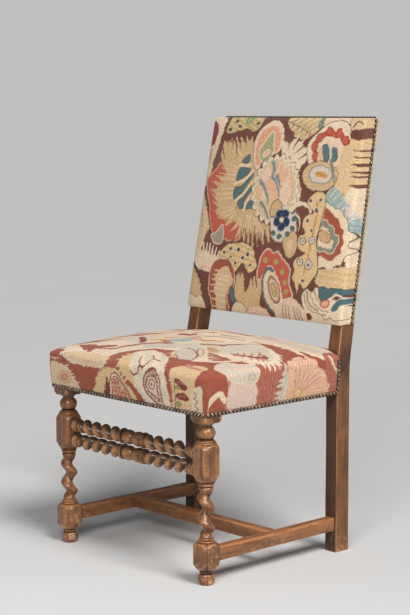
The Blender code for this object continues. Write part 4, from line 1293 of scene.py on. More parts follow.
def arched_flower(cloth):
    """The coral arched flower in the back's top right corner, with its tan fan."""
    cream = [
        (366, 92), (361, 68), (372, 48), (388, 33), (402, 22), (424, 10), (452, 6), (482, 12), (496, 34),
        (496, 60), (470, 110), (430, 116), (384, 114),
    ]
    cloth.patch(cream, "cream", ("ink", 1.6))
    cloth.patch(
        [(482, 60), (502, 48), (536, 44), (536, 172), (500, 174), (462, 152), (456, 104), (470, 76)],
        "wheat",
    )
    cloth.fingers(
        [(478, 72), (464, 110), (474, 150)], [(536, 62), (536, 100), (536, 162)], 8, "sand", 6, 10
    )
    for y, width in ((75, 5), (90, 5), (107, 9), (124, 6), (134, 6), (155, 9)):
        cloth.stroke([(534, y), (508, y - 1)], "maroon", width, 1.5)
    arch = [
        (394, 98), (386, 68), (396, 46), (414, 38), (430, 33), (446, 38), (460, 36), (474, 48), (490, 54),
    ]
    cloth.stroke(arch, "coral", 15)
    lumps = [(393, 88), (385, 66), (397, 45), (425, 32), (457, 35), (481, 51)]
    for lump in lumps:
        cloth.oval(lump, (11, 11), "coral", 0, 6, 0.1, ("crimson", 2))
    cloth.patch(
        [(402, 66), (422, 52), (452, 54), (470, 64), (468, 102), (440, 112), (408, 106)], "blush",
        ("cream", 4),
    )
    cloth.oval((408, 84), (7, 18), "peach", -14)
    for bar in ([(411, 66), (429, 64), (438, 97), (423, 99)], [(444, 70), (458, 72), (463, 97), (450, 99)]):
        cloth.patch(bar, "slate", ("ink", 1.5), ("teal", 7, 0.4, 70))
    cloth.stroke([(436, 64), (441, 84), (446, 104)], "white", 7)
    cloth.patch([(490, 36), (506, 28), (536, 26), (536, 46), (508, 50)], "maroon")
    for x in (502, 514, 526):
        cloth.stroke([(x, 30), (x - 4, 46)], "ink", 3, 1.5)
    ring = [
        (358, 132), (372, 112), (404, 100), (440, 104), (466, 118), (472, 140), (456, 160), (420, 170),
        (378, 160),
    ]
    cloth.patch(ring, "tan", ("ink", 1.4), ("sand", 9, 0.4, 0))
    cloth.oval((418, 131), (37, 21), "white", 5, edge=("stone", 3.2))
    cloth.oval((420, 131), (24, 7.5), "gold", 6, edge=("blush", 2))
    cloth.stroke([(446, 98), (455, 122), (464, 146)], "grey_green", 9, 6)
    cloth.oval((463, 139), (7, 6), "stone")


def blue_feather(cloth):
    """The pale blue feather below the arch, and the whites at the back's right edge."""
    cloth.patch([(498, 176), (536, 170), (536, 330), (520, 320), (520, 264), (506, 220)], "cream")
    feather = [
        (442, 182), (454, 165), (476, 159), (492, 174), (504, 190), (518, 198), (531, 230), (534, 262),
        (516, 260), (500, 244), (484, 220), (464, 206), (447, 201),
    ]
    cloth.patch(feather, "pale_blue", ("white", 2.5), ("grey_blue", 9, 0.4, 40))
    cloth.fingers(
        [(458, 180), (490, 206), (516, 240)], [(474, 162), (512, 188), (530, 224)], 6, "white", 4, 2
    )
    cloth.oval((516, 214), (8, 14), "white", -30)


def navy_flower(cloth):
    """The navy flower with five petals, its ring of teal dots and the tan drop below."""
    ground = [
        (278, 262), (276, 232), (296, 210), (330, 206), (350, 214), (362, 246), (362, 274), (344, 290),
        (312, 292), (288, 284),
    ]
    cloth.patch(ground, "white", ("stone", 2))
    cloth.patch(
        [(268, 216), (276, 200), (290, 193), (304, 200), (308, 216), (296, 230), (276, 236)], "tan",
        ("ink", 2.2),
    )
    cloth.patch(
        [(324, 296), (332, 276), (350, 264), (368, 274), (374, 300), (364, 322), (344, 326)], "tan",
        ("ink", 1.6),
    )
    cloth.oval((350, 298), (10, 14), "sand", 10)
    for step in range(5):
        angle = math.radians(72 * step - 126)
        cloth.oval(
            (313 + 15 * math.cos(angle), 240 + 15.5 * math.sin(angle)), (12.5, 11.5), "navy",
            edge=("slate", 1.4),
        )
    cloth.oval((313, 240), (7, 6), "cream", 20, edge=("sage", 2))
    cloth.dots(
        [(289, 272), (311, 279), (336, 272), (350, 257), (353, 235), (344, 218)], (7.5, 5.5), "teal",
        ("ink", 1.2),
    )
    hook = [(340, 214), (356, 202), (380, 201), (398, 209), (402, 222)]
    cloth.stroke(hook, "cream", 13, 5)
    cloth.stroke([(360, 226), (372, 240), (372, 262)], "cream", 5, 2)


def spotted_stem(cloth):
    """The yellow spotted stem, with a lobe at each side and outlined ovals."""
    stem = [
        (390, 196), (398, 180), (420, 170), (442, 175), (447, 196), (440, 228), (442, 254), (432, 270),
        (436, 300), (446, 336), (446, 356), (430, 378), (410, 396), (394, 384), (388, 408), (378, 386),
        (367, 372), (372, 356), (367, 344), (374, 328), (400, 312), (383, 308), (374, 292), (378, 275),
        (393, 266), (384, 254), (382, 238), (391, 225), (412, 221), (400, 208),
    ]
    cloth.patch(stem, "wheat", ("ink", 1.8), ("sand", 13, 0.35, 20))
    cloth.stroke([(420, 196), (424, 226), (420, 252), (414, 300), (410, 330), (402, 366)], "gold", 7, 4)
    cloth.dots([(399, 191), (430, 189), (397, 237), (412, 261), (404, 376)], (6, 5), "plum", ("cream", 1.6))
    cloth.oval((420, 214), (7, 7), "plum", 45, edge=("cream", 2))
    cloth.dots([(390, 285), (418, 283), (388, 334)], (10, 8), "white", ("ink", 2))
    cloth.dots([(390, 285), (418, 283), (388, 334)], (4, 3), "stone")
    cloth.patch([(404, 340), (416, 327), (428, 339), (417, 352)], "white", ("ink", 2))
    cloth.oval((416, 340), (4, 4), "plum")
    cloth.stroke([(442, 236), (434, 264), (437, 300), (447, 348), (430, 376)], "ink", 2.6)


def ringed_flower(cloth):
    """The flower of three scalloped rings round a pale heart, at the back's right edge."""
    rings = (
        (
            "cream", ("ink", 1.4),
            [
                (444, 204), (462, 199), (478, 206), (494, 209), (505, 223), (518, 235), (521, 252),
                (530, 267), (526, 285), (530, 304), (519, 318), (514, 334), (496, 338), (480, 348),
                (462, 342), (446, 345), (436, 330),
            ],
        ),
        (
            "brick", ("blush", 2.6),
            [
                (444, 212), (462, 212), (477, 222), (494, 231), (500, 245), (511, 258), (509, 271),
                (516, 285), (508, 297), (510, 309), (496, 317), (485, 327), (469, 326), (452, 318),
                (438, 312),
            ],
        ),
        (
            "grey_green", ("blush", 2.4),
            [
                (442, 239), (455, 234), (466, 245), (480, 249), (483, 263), (495, 267), (500, 281),
                (494, 292), (488, 305), (476, 311), (462, 307), (446, 306), (438, 298),
            ],
        ),
        (
            "cream", None,
            [
                (440, 252), (456, 253), (467, 262), (473, 272), (484, 281), (482, 293), (466, 300),
                (450, 295), (438, 288),
            ],
        ),
    )
    for name, edge, ring in rings:
        cloth.patch(ring, name, edge)
    cloth.oval((455, 272), (21, 12), "tan", 28, edge=("ochre", 2))
    cloth.stroke([(446, 262), (460, 268), (466, 278)], "ochre", 2, 1.4)


def coral_leaf(cloth):
    """The coral leaf with olive spots at the foot of the back, and the paisley under it."""
    leaf = [
        (250, 378), (252, 346), (264, 319), (281, 311), (297, 318), (312, 315), (330, 330), (347, 340),
        (359, 356), (359, 378), (364, 396), (374, 412), (372, 427), (350, 431), (336, 424), (328, 398),
        (314, 372), (298, 352), (284, 352), (272, 368), (262, 384),
    ]
    cloth.patch(leaf, "coral", ("blush", 3.5))
    cloth.dots([(273, 338), (310, 339), (333, 362), (352, 407), (346, 385)], (7, 6), "olive", ("gold", 1.6))
    cloth.patch(
        [(300, 360), (326, 384), (342, 420), (347, 448), (320, 462), (288, 438), (274, 408), (278, 370)],
        "cream", hatch=("sand", 10, 0.35, 60),
    )
    cloth.stroke(
        [(302, 360), (282, 357), (271, 378), (272, 404), (282, 428), (298, 447), (322, 463)], "teal", 8,
        5,
    )
    cloth.oval((312, 405), (17, 34), "rose", -28, edge=("ink", 1.6))
    cloth.oval((312, 405), (11, 24), "olive", -28, edge=("blush", 2.5))
    cloth.stroke([(306, 396), (317, 416)], "peach", 5, 3)
    lumps = [(330, 440), (346, 426), (368, 420), (388, 425), (404, 437), (417, 452), (420, 477), (326, 477)]
    cloth.patch(lumps, "blush", ("cream", 3))
    cloth.fingers([(346, 470), (410, 470)], [(344, 436), (398, 442)], 6, "grey_green", 4, 2)


def lower_leaves(cloth):
    """Combs, shells and spotted leaves along the foot of the back."""
    cloth.patch([(-6, 330), (20, 326), (96, 340), (102, 352), (80, 376), (40, 376), (-6, 356)], "cream")
    cloth.fingers([(30, 346), (66, 348), (98, 350)], [(26, 314), (64, 310), (104, 326)], 7, "cream", 10, 4)
    cloth.stroke([(36, 374), (60, 368), (84, 378)], "peach", 8, 4)
    cloth.patch(
        [(-6, 372), (20, 382), (44, 410), (56, 440), (52, 462), (-6, 456)], "tan",
        hatch=("sand", 10, 0.4, 50),
    )
    cloth.patch(
        [(-6, 446), (14, 438), (36, 444), (50, 438), (68, 456), (66, 477), (-6, 477)], "cream",
        ("ink", 1.6),
    )
    cloth.stroke([(2, 361), (28, 379), (50, 405), (66, 436), (72, 456)], "ink", 6, 3)
    red = [
        (77, 392), (82, 362), (102, 346), (130, 342), (156, 356), (172, 384), (168, 410), (152, 428),
        (152, 447), (158, 460), (140, 477), (104, 477), (92, 448), (80, 420),
    ]
    cloth.patch(red, "brick", ("blush", 2.5))
    comb = [
        (104, 384), (120, 366), (142, 362), (160, 380), (166, 396), (160, 411), (148, 426), (146, 450),
        (146, 477), (114, 477), (110, 440), (100, 412),
    ]
    cloth.patch(comb, "sand")
    cloth.fingers([(128, 374), (120, 410), (126, 460)], [(96, 374), (86, 410), (100, 462)], 7, "sand", 8, 3)
    cloth.fingers(
        [(150, 386), (140, 420), (138, 462)], [(112, 382), (104, 416), (112, 462)], 7, "cream", 4, 2
    )
    spotted = [
        (104, 332), (124, 312), (150, 304), (182, 301), (212, 305), (230, 318), (236, 334), (245, 351),
        (236, 366), (220, 371), (207, 360), (195, 350), (183, 360), (170, 373), (159, 362), (140, 346),
        (112, 346),
    ]
    cloth.patch(spotted, "wheat", ("ink", 1.6), ("olive_tan", 13, 0.3, 10))
    cloth.dots([(174, 318), (210, 327), (144, 319), (193, 338)], (6.5, 5.5), "navy", ("cream", 1.6))
    cloth.dots([(123, 327), (149, 338), (168, 350), (221, 353)], (5, 4.5), "navy", ("cream", 1.4))
    tan = [
        (175, 402), (180, 381), (194, 372), (205, 384), (206, 402), (215, 418), (225, 404), (230, 384),
        (246, 377), (269, 371), (274, 402), (266, 432), (263, 462), (214, 466), (186, 446), (176, 422),
    ]
    cloth.patch(tan, "tan", hatch=("sand", 10, 0.4, 70))
    for slit in (
        ((210, 380), (216, 414)), ((233, 374), (238, 402)), ((245, 372), (252, 404)),
        ((190, 368), (192, 384)),
    ):
        cloth.stroke(slit, "maroon", 7, 2)
    cloth.oval((169, 430), (8, 23), "teal", -24, edge=("ink", 1.6))
    cloth.patch([(168, 477), (174, 452), (192, 444), (212, 450), (220, 477)], "cream", ("ink", 1.5))
    cloth.patch([(224, 477), (232, 456), (262, 450), (292, 456), (296, 477)], "blush")
    cloth.patch(
        [(440, 352), (470, 346), (536, 340), (536, 392), (470, 390), (446, 380)], "sand",
        hatch=("tan", 14, 0.3, 5),
    )
    shells = [
        (404, 414), (418, 395), (436, 400), (448, 388), (476, 400), (536, 430), (536, 477), (438, 477),
        (420, 456),
    ]
    cloth.patch(shells, "cream", ("ink", 2))
    arcs = [
        [(430, 392), (434, 408), (446, 426), (464, 438), (492, 442)],
        [(412, 408), (418, 426), (432, 440), (454, 448), (484, 450)],
        [(444, 396), (448, 408), (458, 420), (466, 426)],
        [(470, 450), (482, 460), (498, 456), (512, 462), (530, 456)],
    ]
    for arc in arcs:
        cloth.stroke(arc, "ink", 2.0, 1.4)
    cloth.stroke([(420, 402), (426, 422), (440, 434), (460, 443)], "stone", 7, 4)
    cloth.patch(
        [(456, 389), (494, 388), (536, 389), (528, 402), (500, 404), (482, 414), (464, 419)], "teal",
        ("ink", 1.6),
    )
    cloth.oval((480, 424), (13, 8), "peach", -20, edge=("coral", 2.5))
    cloth.stroke([(496, 412), (510, 402), (528, 408)], "white", 7, 4)
    cloth.patch(
        [(502, 430), (518, 412), (536, 408), (536, 422), (524, 426), (514, 440), (500, 440)], "teal",
        ("white", 2),
    )
    cloth.oval((430, 458), (11, 8), "maroon")


def back_needlework(places):
    """Wool of the back panel, on places in millimetres from its top left corner.

    Round the edges the shapes of the face run on to the nails.
    """
    face = np.clip(places, BACK_MARGIN, np.array(BACK_CLOTH) - BACK_MARGIN)
    cloth = Canvas(face + EDGE_RUN * (places - face), "maroon")
    for motif in (
        back_corner_leaves, fan_leaf, salmon_leaf, scalloped_flower, arched_flower, blue_feather,
        ringed_flower, navy_flower, lower_leaves, spotted_stem, coral_leaf,
    ):
        motif(cloth)
    return cloth.colour


def aslant(points):
    """Places given along and across the line that slants over the seat's top, as places on the cloth."""
    along, across = np.asarray(points, float).T
    cosine, sine = math.cos(SEAT_SLANT), math.sin(SEAT_SLANT)
    return np.stack([along * cosine - across * sine, along * sine + across * cosine], -1)


def seat_top_leaves(cloth):
    """Long leaves, scrolls and a serrated leaf that run aslant over the pale top of the seat."""
    ground = [
        (-64, 130), (-30, 98), (20, 82), (76, 68), (112, 56), (108, 0), (118, -66), (160, -98),
        (240, -104), (300, -90), (330, -84), (352, -40), (350, 0), (330, 40), (360, 50), (400, 30),
        (440, 40), (482, 76), (440, 150), (300, 330), (121, 480), (-10, 380), (-90, 290), (-60, 180),
    ]
    cloth.patch(aslant(ground), "ivory", hatch=("cream", 34, 0.4, 47))
    leaf = [
        (-138, 234), (-143, 180), (-134, 152), (-147, 160), (-140, 138), (-128, 118), (-96, 84),
        (-62, 48), (-40, 42), (-3, 45), (19, 38), (44, 28), (76, 15), (112, -6), (112, 56), (76, 66),
        (45, 74), (18, 80), (-7, 86), (-24, 84), (-55, 110), (-66, 124), (-77, 110), (-86, 106),
        (-97, 134), (-108, 174), (-120, 192), (-130, 216),
    ]
    cloth.patch(aslant(leaf), "ivory", hatch=("cream", 17, 0.4, 50))
    cloth.fingers(
        aslant([(-118, 204), (-112, 150), (-84, 104)]), aslant([(-146, 234), (-150, 168), (-104, 92)]), 7,
        "ivory", 16, 6,
    )
    for line, name, width, end in (
        ([(60, 60), (180, 16), (300, 10)], "white", 40, 60),
        ([(210, -20), (280, -26), (330, -24)], "celadon", 30, 44),
        ([(-20, 160), (60, 150), (180, 140)], "blush", 30, 20),
        ([(320, 150), (400, 100), (460, 70)], "white", 50, 30),
        ([(-112, 200), (-80, 178), (-50, 150), (-16, 138)], "ivory", 12, 36),
        ([(-128, 212), (-90, 202), (-40, 196)], "brick", 12, 16),
        ([(-78, 206), (-50, 202), (-16, 194)], "ochre", 18, 12),
        ([(-70, 256), (-20, 236), (50, 212), (110, 196)], "brick", 30, 12),
        ([(-36, 304), (50, 266), (130, 230)], "rose", 34, 18),
        ([(40, 356), (130, 296), (226, 250)], "brick", 40, 16),
        ([(70, 414), (140, 366), (240, 304)], "rose", 40, 20),
        ([(230, 250), (300, 206), (350, 160)], "rose", 26, 10),
        ([(-66, 130), (-44, 120), (-22, 113)], "brick", 18, 14),
        ([(-10, 88), (20, 90), (60, 80), (110, 66)], "brick", 12, 8),
        ([(-38, 46), (-3, 48), (19, 41), (44, 31), (76, 18), (114, -6)], "brick", 8, 10),
        ([(22, 150), (60, 118), (96, 106)], "celadon", 44, 28),
        ([(66, 122), (84, 108), (96, 100)], "wheat", 22, 16),
        ([(36, 160), (42, 128), (42, 106)], "crimson", 13, 17),
        ([(88, 94), (100, 90), (112, 90)], "gold", 20, 22),
        ([(94, 86), (106, 82), (114, 84)], "coral", 13, 8),
        ([(94, 72), (106, 66)], "ink_red", 11, 8),
        ([(114, 92), (128, 84), (142, 92)], "pale_blue", 24, 32),
        ([(130, 156), (148, 150), (162, 154)], "crimson", 17, 12),
        ([(164, 178), (186, 182), (208, 172)], "ink_red", 18, 10),
        ([(180, 76), (204, 70), (228, 66)], "gold", 15, 10),
        ([(180, 34), (200, 26), (220, 28)], "ochre", 13, 8),
        ([(190, 52), (212, 48), (236, 44)], "cream", 14, 10),
        ([(222, 24), (250, 38), (276, 52), (304, 50)], "umber", 8, 5),
        ([(186, 122), (230, 114), (272, 96)], "umber", 8, 5),
        ([(96, 130), (140, 122), (176, 118)], "rose", 8, 6),
        ([(236, 196), (262, 190), (294, 172)], "grey_green", 26, 16),
        ([(224, 150), (250, 142), (276, 128)], "stone", 12, 8),
        ([(70, -16), (96, -18), (120, -4)], "rose", 11, 7),
        ([(296, 88), (330, 68), (354, 60)], "rose", 9, 12),
        ([(356, 106), (400, 82), (444, 62)], "blush", 16, 9),
    ):
        cloth.stroke(aslant(line), name, width, end)
    for step in range(4):
        cloth.stroke(aslant([(152 + 6 * step, 116), (162 + 6 * step, 78)]), "rose", 3.4)
    white = [(120, -20), (134, 5), (152, 5), (164, -20), (168, -50), (158, -82), (136, -78), (122, -50)]
    cloth.patch(aslant(white), "white", ("stone", 1.6))
    cloth.patch(aslant([(169, -4), (178, -2), (183, -28), (179, -56), (170, -54)]), "blush", ("umber", 2.4))
    cloth.stroke(aslant([(147, 10), (162, -12), (169, -44), (165, -66), (157, -86)]), "ink_red", 3.6)
    cloth.patch(
        aslant([(192, 12), (206, 6), (219, -10), (214, -28), (196, -30), (190, -10)]), "tan",
        hatch=("ochre", 10, 0.4, 60),
    )
    fork = [
        (97, -104), (100, -80), (104, -56), (112, -52), (121, -70), (140, -82), (162, -92), (192, -106),
        (226, -100), (262, -82), (300, -92), (322, -104), (296, -112), (262, -100), (236, -104),
        (212, -112), (192, -122), (168, -114), (146, -110), (130, -116), (118, -132), (111, -122),
    ]
    cloth.patch(aslant(fork), "brick")
    cloth.patch(aslant([(106, -34), (119, -32), (124, -60), (116, -70), (108, -56)]), "peach", ("brick", 3))
    cloth.patch(
        aslant(
            [
                (191, -34), (202, -42), (218, -50), (234, -70), (242, -84), (222, -95), (196, -90),
                (191, -66),
            ],
        ),
        "brick",
    )
    cloth.fingers(aslant([(184, -44), (184, -86)]), aslant([(212, -56), (222, -86)]), 5, "ivory", 4, 1)
    cloth.stroke(aslant([(160, -93), (192, -103), (222, -98), (248, -82)]), "ivory", 8, 6)
    for tip in ((258, -22), (272, -20), (290, -14), (306, -4), (318, -16)):
        cloth.stroke(aslant([(tip[0] - 2, -44), tip]), "rose", 9, 3)
        cloth.stroke(aslant([(tip[0] - 8, -42), (tip[0], -64)]), "rose", 8, 3)
    cloth.stroke(aslant([(244, -34), (274, -42), (300, -42), (322, -30)]), "crimson", 5, 9)
    cloth.stroke(aslant([(302, -6), (313, -22), (326, -50)]), "ink_red", 3.4)
    blob = [
        (310, 72), (335, 66), (356, 52), (376, 48), (396, 32), (402, 22), (380, 8), (372, -4), (356, 2),
        (345, 24), (325, 36),
    ]
    cloth.patch(aslant(blob), "brick")
    cloth.stroke(aslant([(404, 48), (426, 34), (446, 36), (466, 22)]), "brick", 9, 28)


def seat_teeth(cloth):
    """Saw teeth of the serrated leaf, over the brick and the side's leaves."""
    roots = aslant([(222, -50), (270, -60), (316, -62), (340, -34), (344, 4)])
    tips = aslant([(227, -63), (275, -72), (324, -74), (354, -42), (357, -1)])
    cloth.fingers(roots, tips, 14, "ivory", 14, 3)


def seat_front_leaves(cloth):
    """Leaves down the front of the seat."""
    cloth.patch(
        [
            (-274, -24), (-226, -19), (-204, -25), (-190, -32), (-182, -45), (-167, -56), (-162, -84),
            (-274, -84),
        ],
        "oat", hatch=("cream", 12, 0.4, 70),
    )
    cloth.fingers([(-214, -30), (-180, -62)], [(-196, -20), (-158, -56)], 5, "oat", 9, 3)
    cloth.oval((-212, -50), (24, 15), "peach", 6, edge=("tan", 3))
    cloth.oval((-212, -50), (12, 7), "salmon", 6, edge=("ochre", 1.8))
    cloth.stroke([(-262, -9), (-244, -10), (-230, -6)], "blush", 4, 2)
    cloth.patch(
        [
            (-206, 6), (-192, -5), (-164, -9), (-148, -13), (-112, -15), (-92, -12), (-72, -3), (-58, 8),
            (-130, 14),
        ],
        "oat",
    )
    cloth.patch(
        [
            (-102, -84), (-98, -54), (-90, -34), (-74, -16), (-50, -9), (-26, -9), (-8, -17), (8, -34),
            (34, -52), (40, -84),
        ],
        "wheat",
    )
    cloth.patch([(-54, -28), (-46, -50), (-44, -84), (-70, -84), (-62, -50)], "ink_red")
    almond = np.array(
        [(-40, -84), (-46, -52), (-40, -28), (-30, -18), (-14, -24), (4, -40), (20, -60), (26, -84)]
    )
    cloth.patch(almond, "cream", ("ink_red", 3))
    cloth.patch(almond * 0.78 + (-2, -12), "cream", ("ink_red", 3))
    for row, y in enumerate((-36, -46, -56, -66, -76)):
        for column in range(4):
            x = -32 + 13 * column + 6 * (row % 2)
            if x < -y * 0.9 - 42:
                cloth.oval((x, y), (6.4, 5.0), "salmon", edge=("brick", 1.5))
    leaf = [
        (-2, 40), (-6, 28), (-14, 16), (-16, 6), (-12, -4), (4, -18), (30, -32), (52, -50), (74, -70),
        (76, -84), (158, -84), (157, -50), (150, -22), (142, 0), (124, 24), (108, 42), (80, 56), (42, 63),
        (12, 50),
    ]
    cloth.patch(leaf, "ivory", hatch=("celadon", 30, 0.45, -40))
    cloth.patch(
        [(-12, 12), (-8, -6), (8, -20), (30, -32), (42, -40), (36, -16), (22, 4), (10, 22)], "wheat"
    )
    cloth.fingers([(2, 26), (2, 2), (24, -22)], [(-22, 30), (-24, -4), (0, -36)], 7, "wheat", 10, 2)
    cloth.patch(
        [(28, -33), (42, -39), (62, -58), (76, -72), (70, -84), (48, -84), (50, -66), (36, -48)], "brick"
    )
    middle = np.array([101, -28])
    drop = np.array(
        [
            (0, 31), (-17, 26), (-27, 10), (-27, -8), (-17, -24), (2, -36), (22, -48), (38, -56),
            (34, -38), (29, -14), (26, 10), (16, 26),
        ],
    )
    cloth.patch(middle + drop, "cream", ("ink_red", 3.4))
    for bead in smooth_curve(middle + drop * 0.83, True)[::4]:
        cloth.oval(bead, (3.8, 3.4), "cream", edge=("ink_red", 1.7))
    cloth.patch(middle + drop * 0.62, "blush", ("ink_red", 3.2))
    cloth.oval(middle, (10, 11), "cream", 12, 8, 0.1, ("ink_red", 2.8))
    cloth.oval(middle, (3, 4), "ink_red")
    cloth.stroke([(28, -8), (40, -14), (53, -7), (55, 4), (42, 16), (32, 32)], "ink_red", 4.2, 2.6)
    cloth.stroke([(55, 4), (72, 3), (75, 22), (84, 27), (102, 24)], "ink_red", 4, 2.6)
    cloth.stroke([(60, 40), (76, 27)], "ink_red", 3)


def seat_corner_leaves(cloth):
    """Leaves at the seat's front right corner, with two buds."""
    cloth.patch(
        [
            (142, 2), (164, -6), (162, 20), (180, 36), (202, 44), (170, 54), (130, 50), (106, 46),
            (122, 28),
        ],
        "brick",
    )
    bud_leaf = [
        (158, -8), (168, -30), (171, -84), (236, -84), (235, -40), (239, -14), (246, 6), (241, 39),
        (216, 42), (186, 26), (162, 14),
    ]
    cloth.patch(bud_leaf, "wheat", hatch=("oat", 12, 0.4, 15))
    cloth.stroke([(186, 30), (206, 24), (230, 26)], "rose", 12, 8)
    cloth.stroke([(174, -72), (178, -44), (174, -14)], "umber", 2.4)
    for x, y, lean in ((178, -44, 0), (174, -12, 9)):
        leaf = [
            (x, y), (x + 12, y + 7), (x + 28, y + 8 - lean), (x + 44, y - 3 - lean),
            (x + 28, y - 8 - lean), (x + 12, y - 5),
        ]
        cloth.patch(leaf, "ink_red", ("crimson", 1.6))
        for step in (12, 20, 28):
            cloth.stroke([(x + step, y - 1), (x + step + 7, y + 4 - lean * step / 28)], "rose", 2.2, 1.4)
    cloth.patch([(177, -26), (186, -20), (196, -24), (186, -29)], "olive", ("umber", 1.4))
    cloth.patch([(176, -62), (186, -56), (196, -60), (186, -66)], "olive", ("umber", 1.4))
    cloth.patch([(240, 36), (274, 52), (274, -20), (250, -22), (240, -14), (246, 6)], "brick")
    cloth.patch([(234, -24), (270, -21), (270, -84), (232, -84)], "cream")
    cloth.stroke(
        [(238, -28), (247, -34), (239, -42), (248, -49), (239, -57), (247, -64), (240, -72)], "ink_red",
        2.2,
    )


def seat_side_leaves(cloth, side):
    """Leaves down one side of the seat: white petal, lilac hatching, bud and ribbed shell."""
    def out(points):
        return [(side * x, y) for x, y in points]

    cloth.stroke(out([(324, 58), (307, 42), (315, 24), (330, 8), (346, -4)]), "cream", 13)
    cloth.stroke(out([(274, 70), (300, 72), (340, 64)]), "rose", 12, 9)
    cloth.patch(
        out([(262, 146), (300, 142), (356, 138), (356, 236), (262, 240)]), "brick",
        hatch=("rose", 7, 0.42, 8),
    )
    cloth.patch(out([(262, 376), (356, 370), (356, 420), (262, 420)]), "brick", hatch=("rose", 7, 0.42, -8))
    cloth.patch(
        out([(286, 76), (352, 72), (352, 146), (296, 148)]), "lilac", hatch=("white", 7.5, 0.42, -8)
    )
    petal = [
        (250, 52), (267, 58), (285, 80), (293, 110), (299, 138), (291, 155), (272, 164), (258, 150),
        (249, 126), (236, 110), (228, 94), (233, 70),
    ]
    cloth.patch(out(petal), "white", ("cream", 3), ("blush", 15, 0.2, 80))
    cloth.oval((side * 281, 138), (7, 10), "white", 0, edge=("stone", 1.8))
    bud = [(266, 246), (290, 238), (312, 234), (334, 226), (354, 222), (354, 256), (320, 254), (292, 252)]
    cloth.patch(out(bud), "white")
    cloth.fingers(
        out([(284, 244), (306, 240), (330, 236), (352, 232)]),
        out([(288, 230), (306, 216), (330, 210), (350, 212)]), 6, "white", 13, 2,
    )
    cloth.stroke(out([(276, 248), (310, 240), (346, 226)]), "sage", 2.4, 1.6)
    shell = [
        (262, 262), (282, 252), (312, 250), (352, 256), (352, 376), (312, 377), (291, 364), (281, 346),
        (266, 336),
    ]
    cloth.patch(out(shell), "peach")
    roots, tips = out([(330, 266), (332, 284), (334, 300)]), out([(268, 262), (262, 322), (330, 382)])
    cloth.fingers(roots, tips, 9, "blush", 3, 12)
    cloth.fingers(roots, tips, 9, "salmon", 2, 4)
    cloth.fingers(out([(332, 272), (334, 294)]), out([(276, 276), (312, 364)]), 8, "rose", 1.2, 2)
    cloth.oval((side * 334, 284), (9, 12), "wheat", 10, edge=("gold", 2.4))
    cloth.stroke(out([(268, 392), (284, 400), (300, 410)]), "cream", 8, 5)


def seat_needlework(places):
    """Wool of the seat, on places in millimetres from the middle of its front shoulder."""
    cloth = Canvas(places, "brick")
    seat_top_leaves(cloth)
    seat_front_leaves(cloth)
    seat_corner_leaves(cloth)
    for _, side in SIDES:
        seat_side_leaves(cloth, side)
    seat_teeth(cloth)
    return cloth.colour


def edge_lines(span, cell, stops):
    """Parameters from -1 to 1, closer together towards both ends, with one line on each stop.

    An even parameter s goes to (1 - k) s + k sin(pi s / 2), which slows down at the ends.
    """
    s = np.linspace(-1.0, 1.0, int(span / cell) + 1)
    lines = (1 - EDGE_DRAW) * s + EDGE_DRAW * np.sin(np.pi * s / 2)
    for stop in stops:
        lines[np.argmin(np.abs(lines - stop))] = stop
    return lines


def rounded_corner(x, y, corner, sign, radius):
    """Plan points once a square corner is a quarter disc: a square's points are drawn in to a disc's.

    With a and b the shares of the way from the corner's centre to its two edges, they become
    a * sqrt(1 - b * b / 2) and b * sqrt(1 - a * a / 2).
    """
    a = np.clip((x - corner[0]) * sign[0] / radius + 1, 0, 1)
    b = np.clip((y - corner[1]) * sign[1] / radius + 1, 0, 1)
    both = (a > 0) & (b > 0)
    around = corner[0] + sign[0] * radius * (a * np.sqrt(1 - b * b / 2) - 1)
    along = corner[1] + sign[1] * radius * (b * np.sqrt(1 - a * a / 2) - 1)
    return np.where(both, around, x), np.where(both, along, y)


def shell(top, loop, rings, centre, skip=None):
    """A closed pad: a grid of points, rings from the grid's outline down and in, and a fan to a centre.

    Skip marks the cells of the grid that the pad doesn't have.
    """
    rows, columns = top.shape[:2]
    index = np.arange(rows * columns).reshape(rows, columns)
    cells = grid_faces(index)
    if skip is not None:
        cells = cells[~skip.ravel()]
    around = len(loop)
    under = rows * columns + np.arange(len(rings) * around).reshape(len(rings), around)
    wall = np.concatenate([loop[None], under])
    quads = grid_faces(np.concatenate([wall, wall[:, :1]], 1))
    points = np.concatenate([top.reshape(-1, 3), rings.reshape(-1, 3), [centre]])
    used = np.unique(np.concatenate([cells.ravel(), wall.ravel(), [len(points) - 1]]))
    number = np.zeros(len(points), int)
    number[used] = np.arange(len(used))
    faces = [np.concatenate([cells, quads[:, ::-1]]), fan_faces(wall[-1], len(points) - 1)]
    return points[used], outward(points[used], [number[group] for group in faces]), used


def seat_swell(share):
    """Side swell of the seat at a share of its wall's height, quick at first and level at the shoulder."""
    return (1 - (1 - share) ** 3.2) * (1 - 0.1 * share**3)


def seat_top(x, y, u, v):
    """Height of the seat: a rounded shoulder, a crown, and the slow lumps of old stuffing."""
    look = settings().seat
    roll = np.sqrt(np.clip((1 - np.abs(u) ** 10) * (1 - np.abs(v) ** 10), 0, 1))
    crown = (1 - u**2) * (1 - v**2)
    lumps = np.sin(x * 37 + 1.0) * np.sin(y * 31 + 2.2)
    lumps = lumps + 0.6 * np.sin(x * 71 - y * 53) + 0.4 * np.sin(x * 113 + y * 97)
    lumps = look.lumps * lumps * roll * (0.4 + 0.6 * crown)
    return LEG_TOP + look.shoulder + look.edge_rise * roll + look.crown * crown + lumps


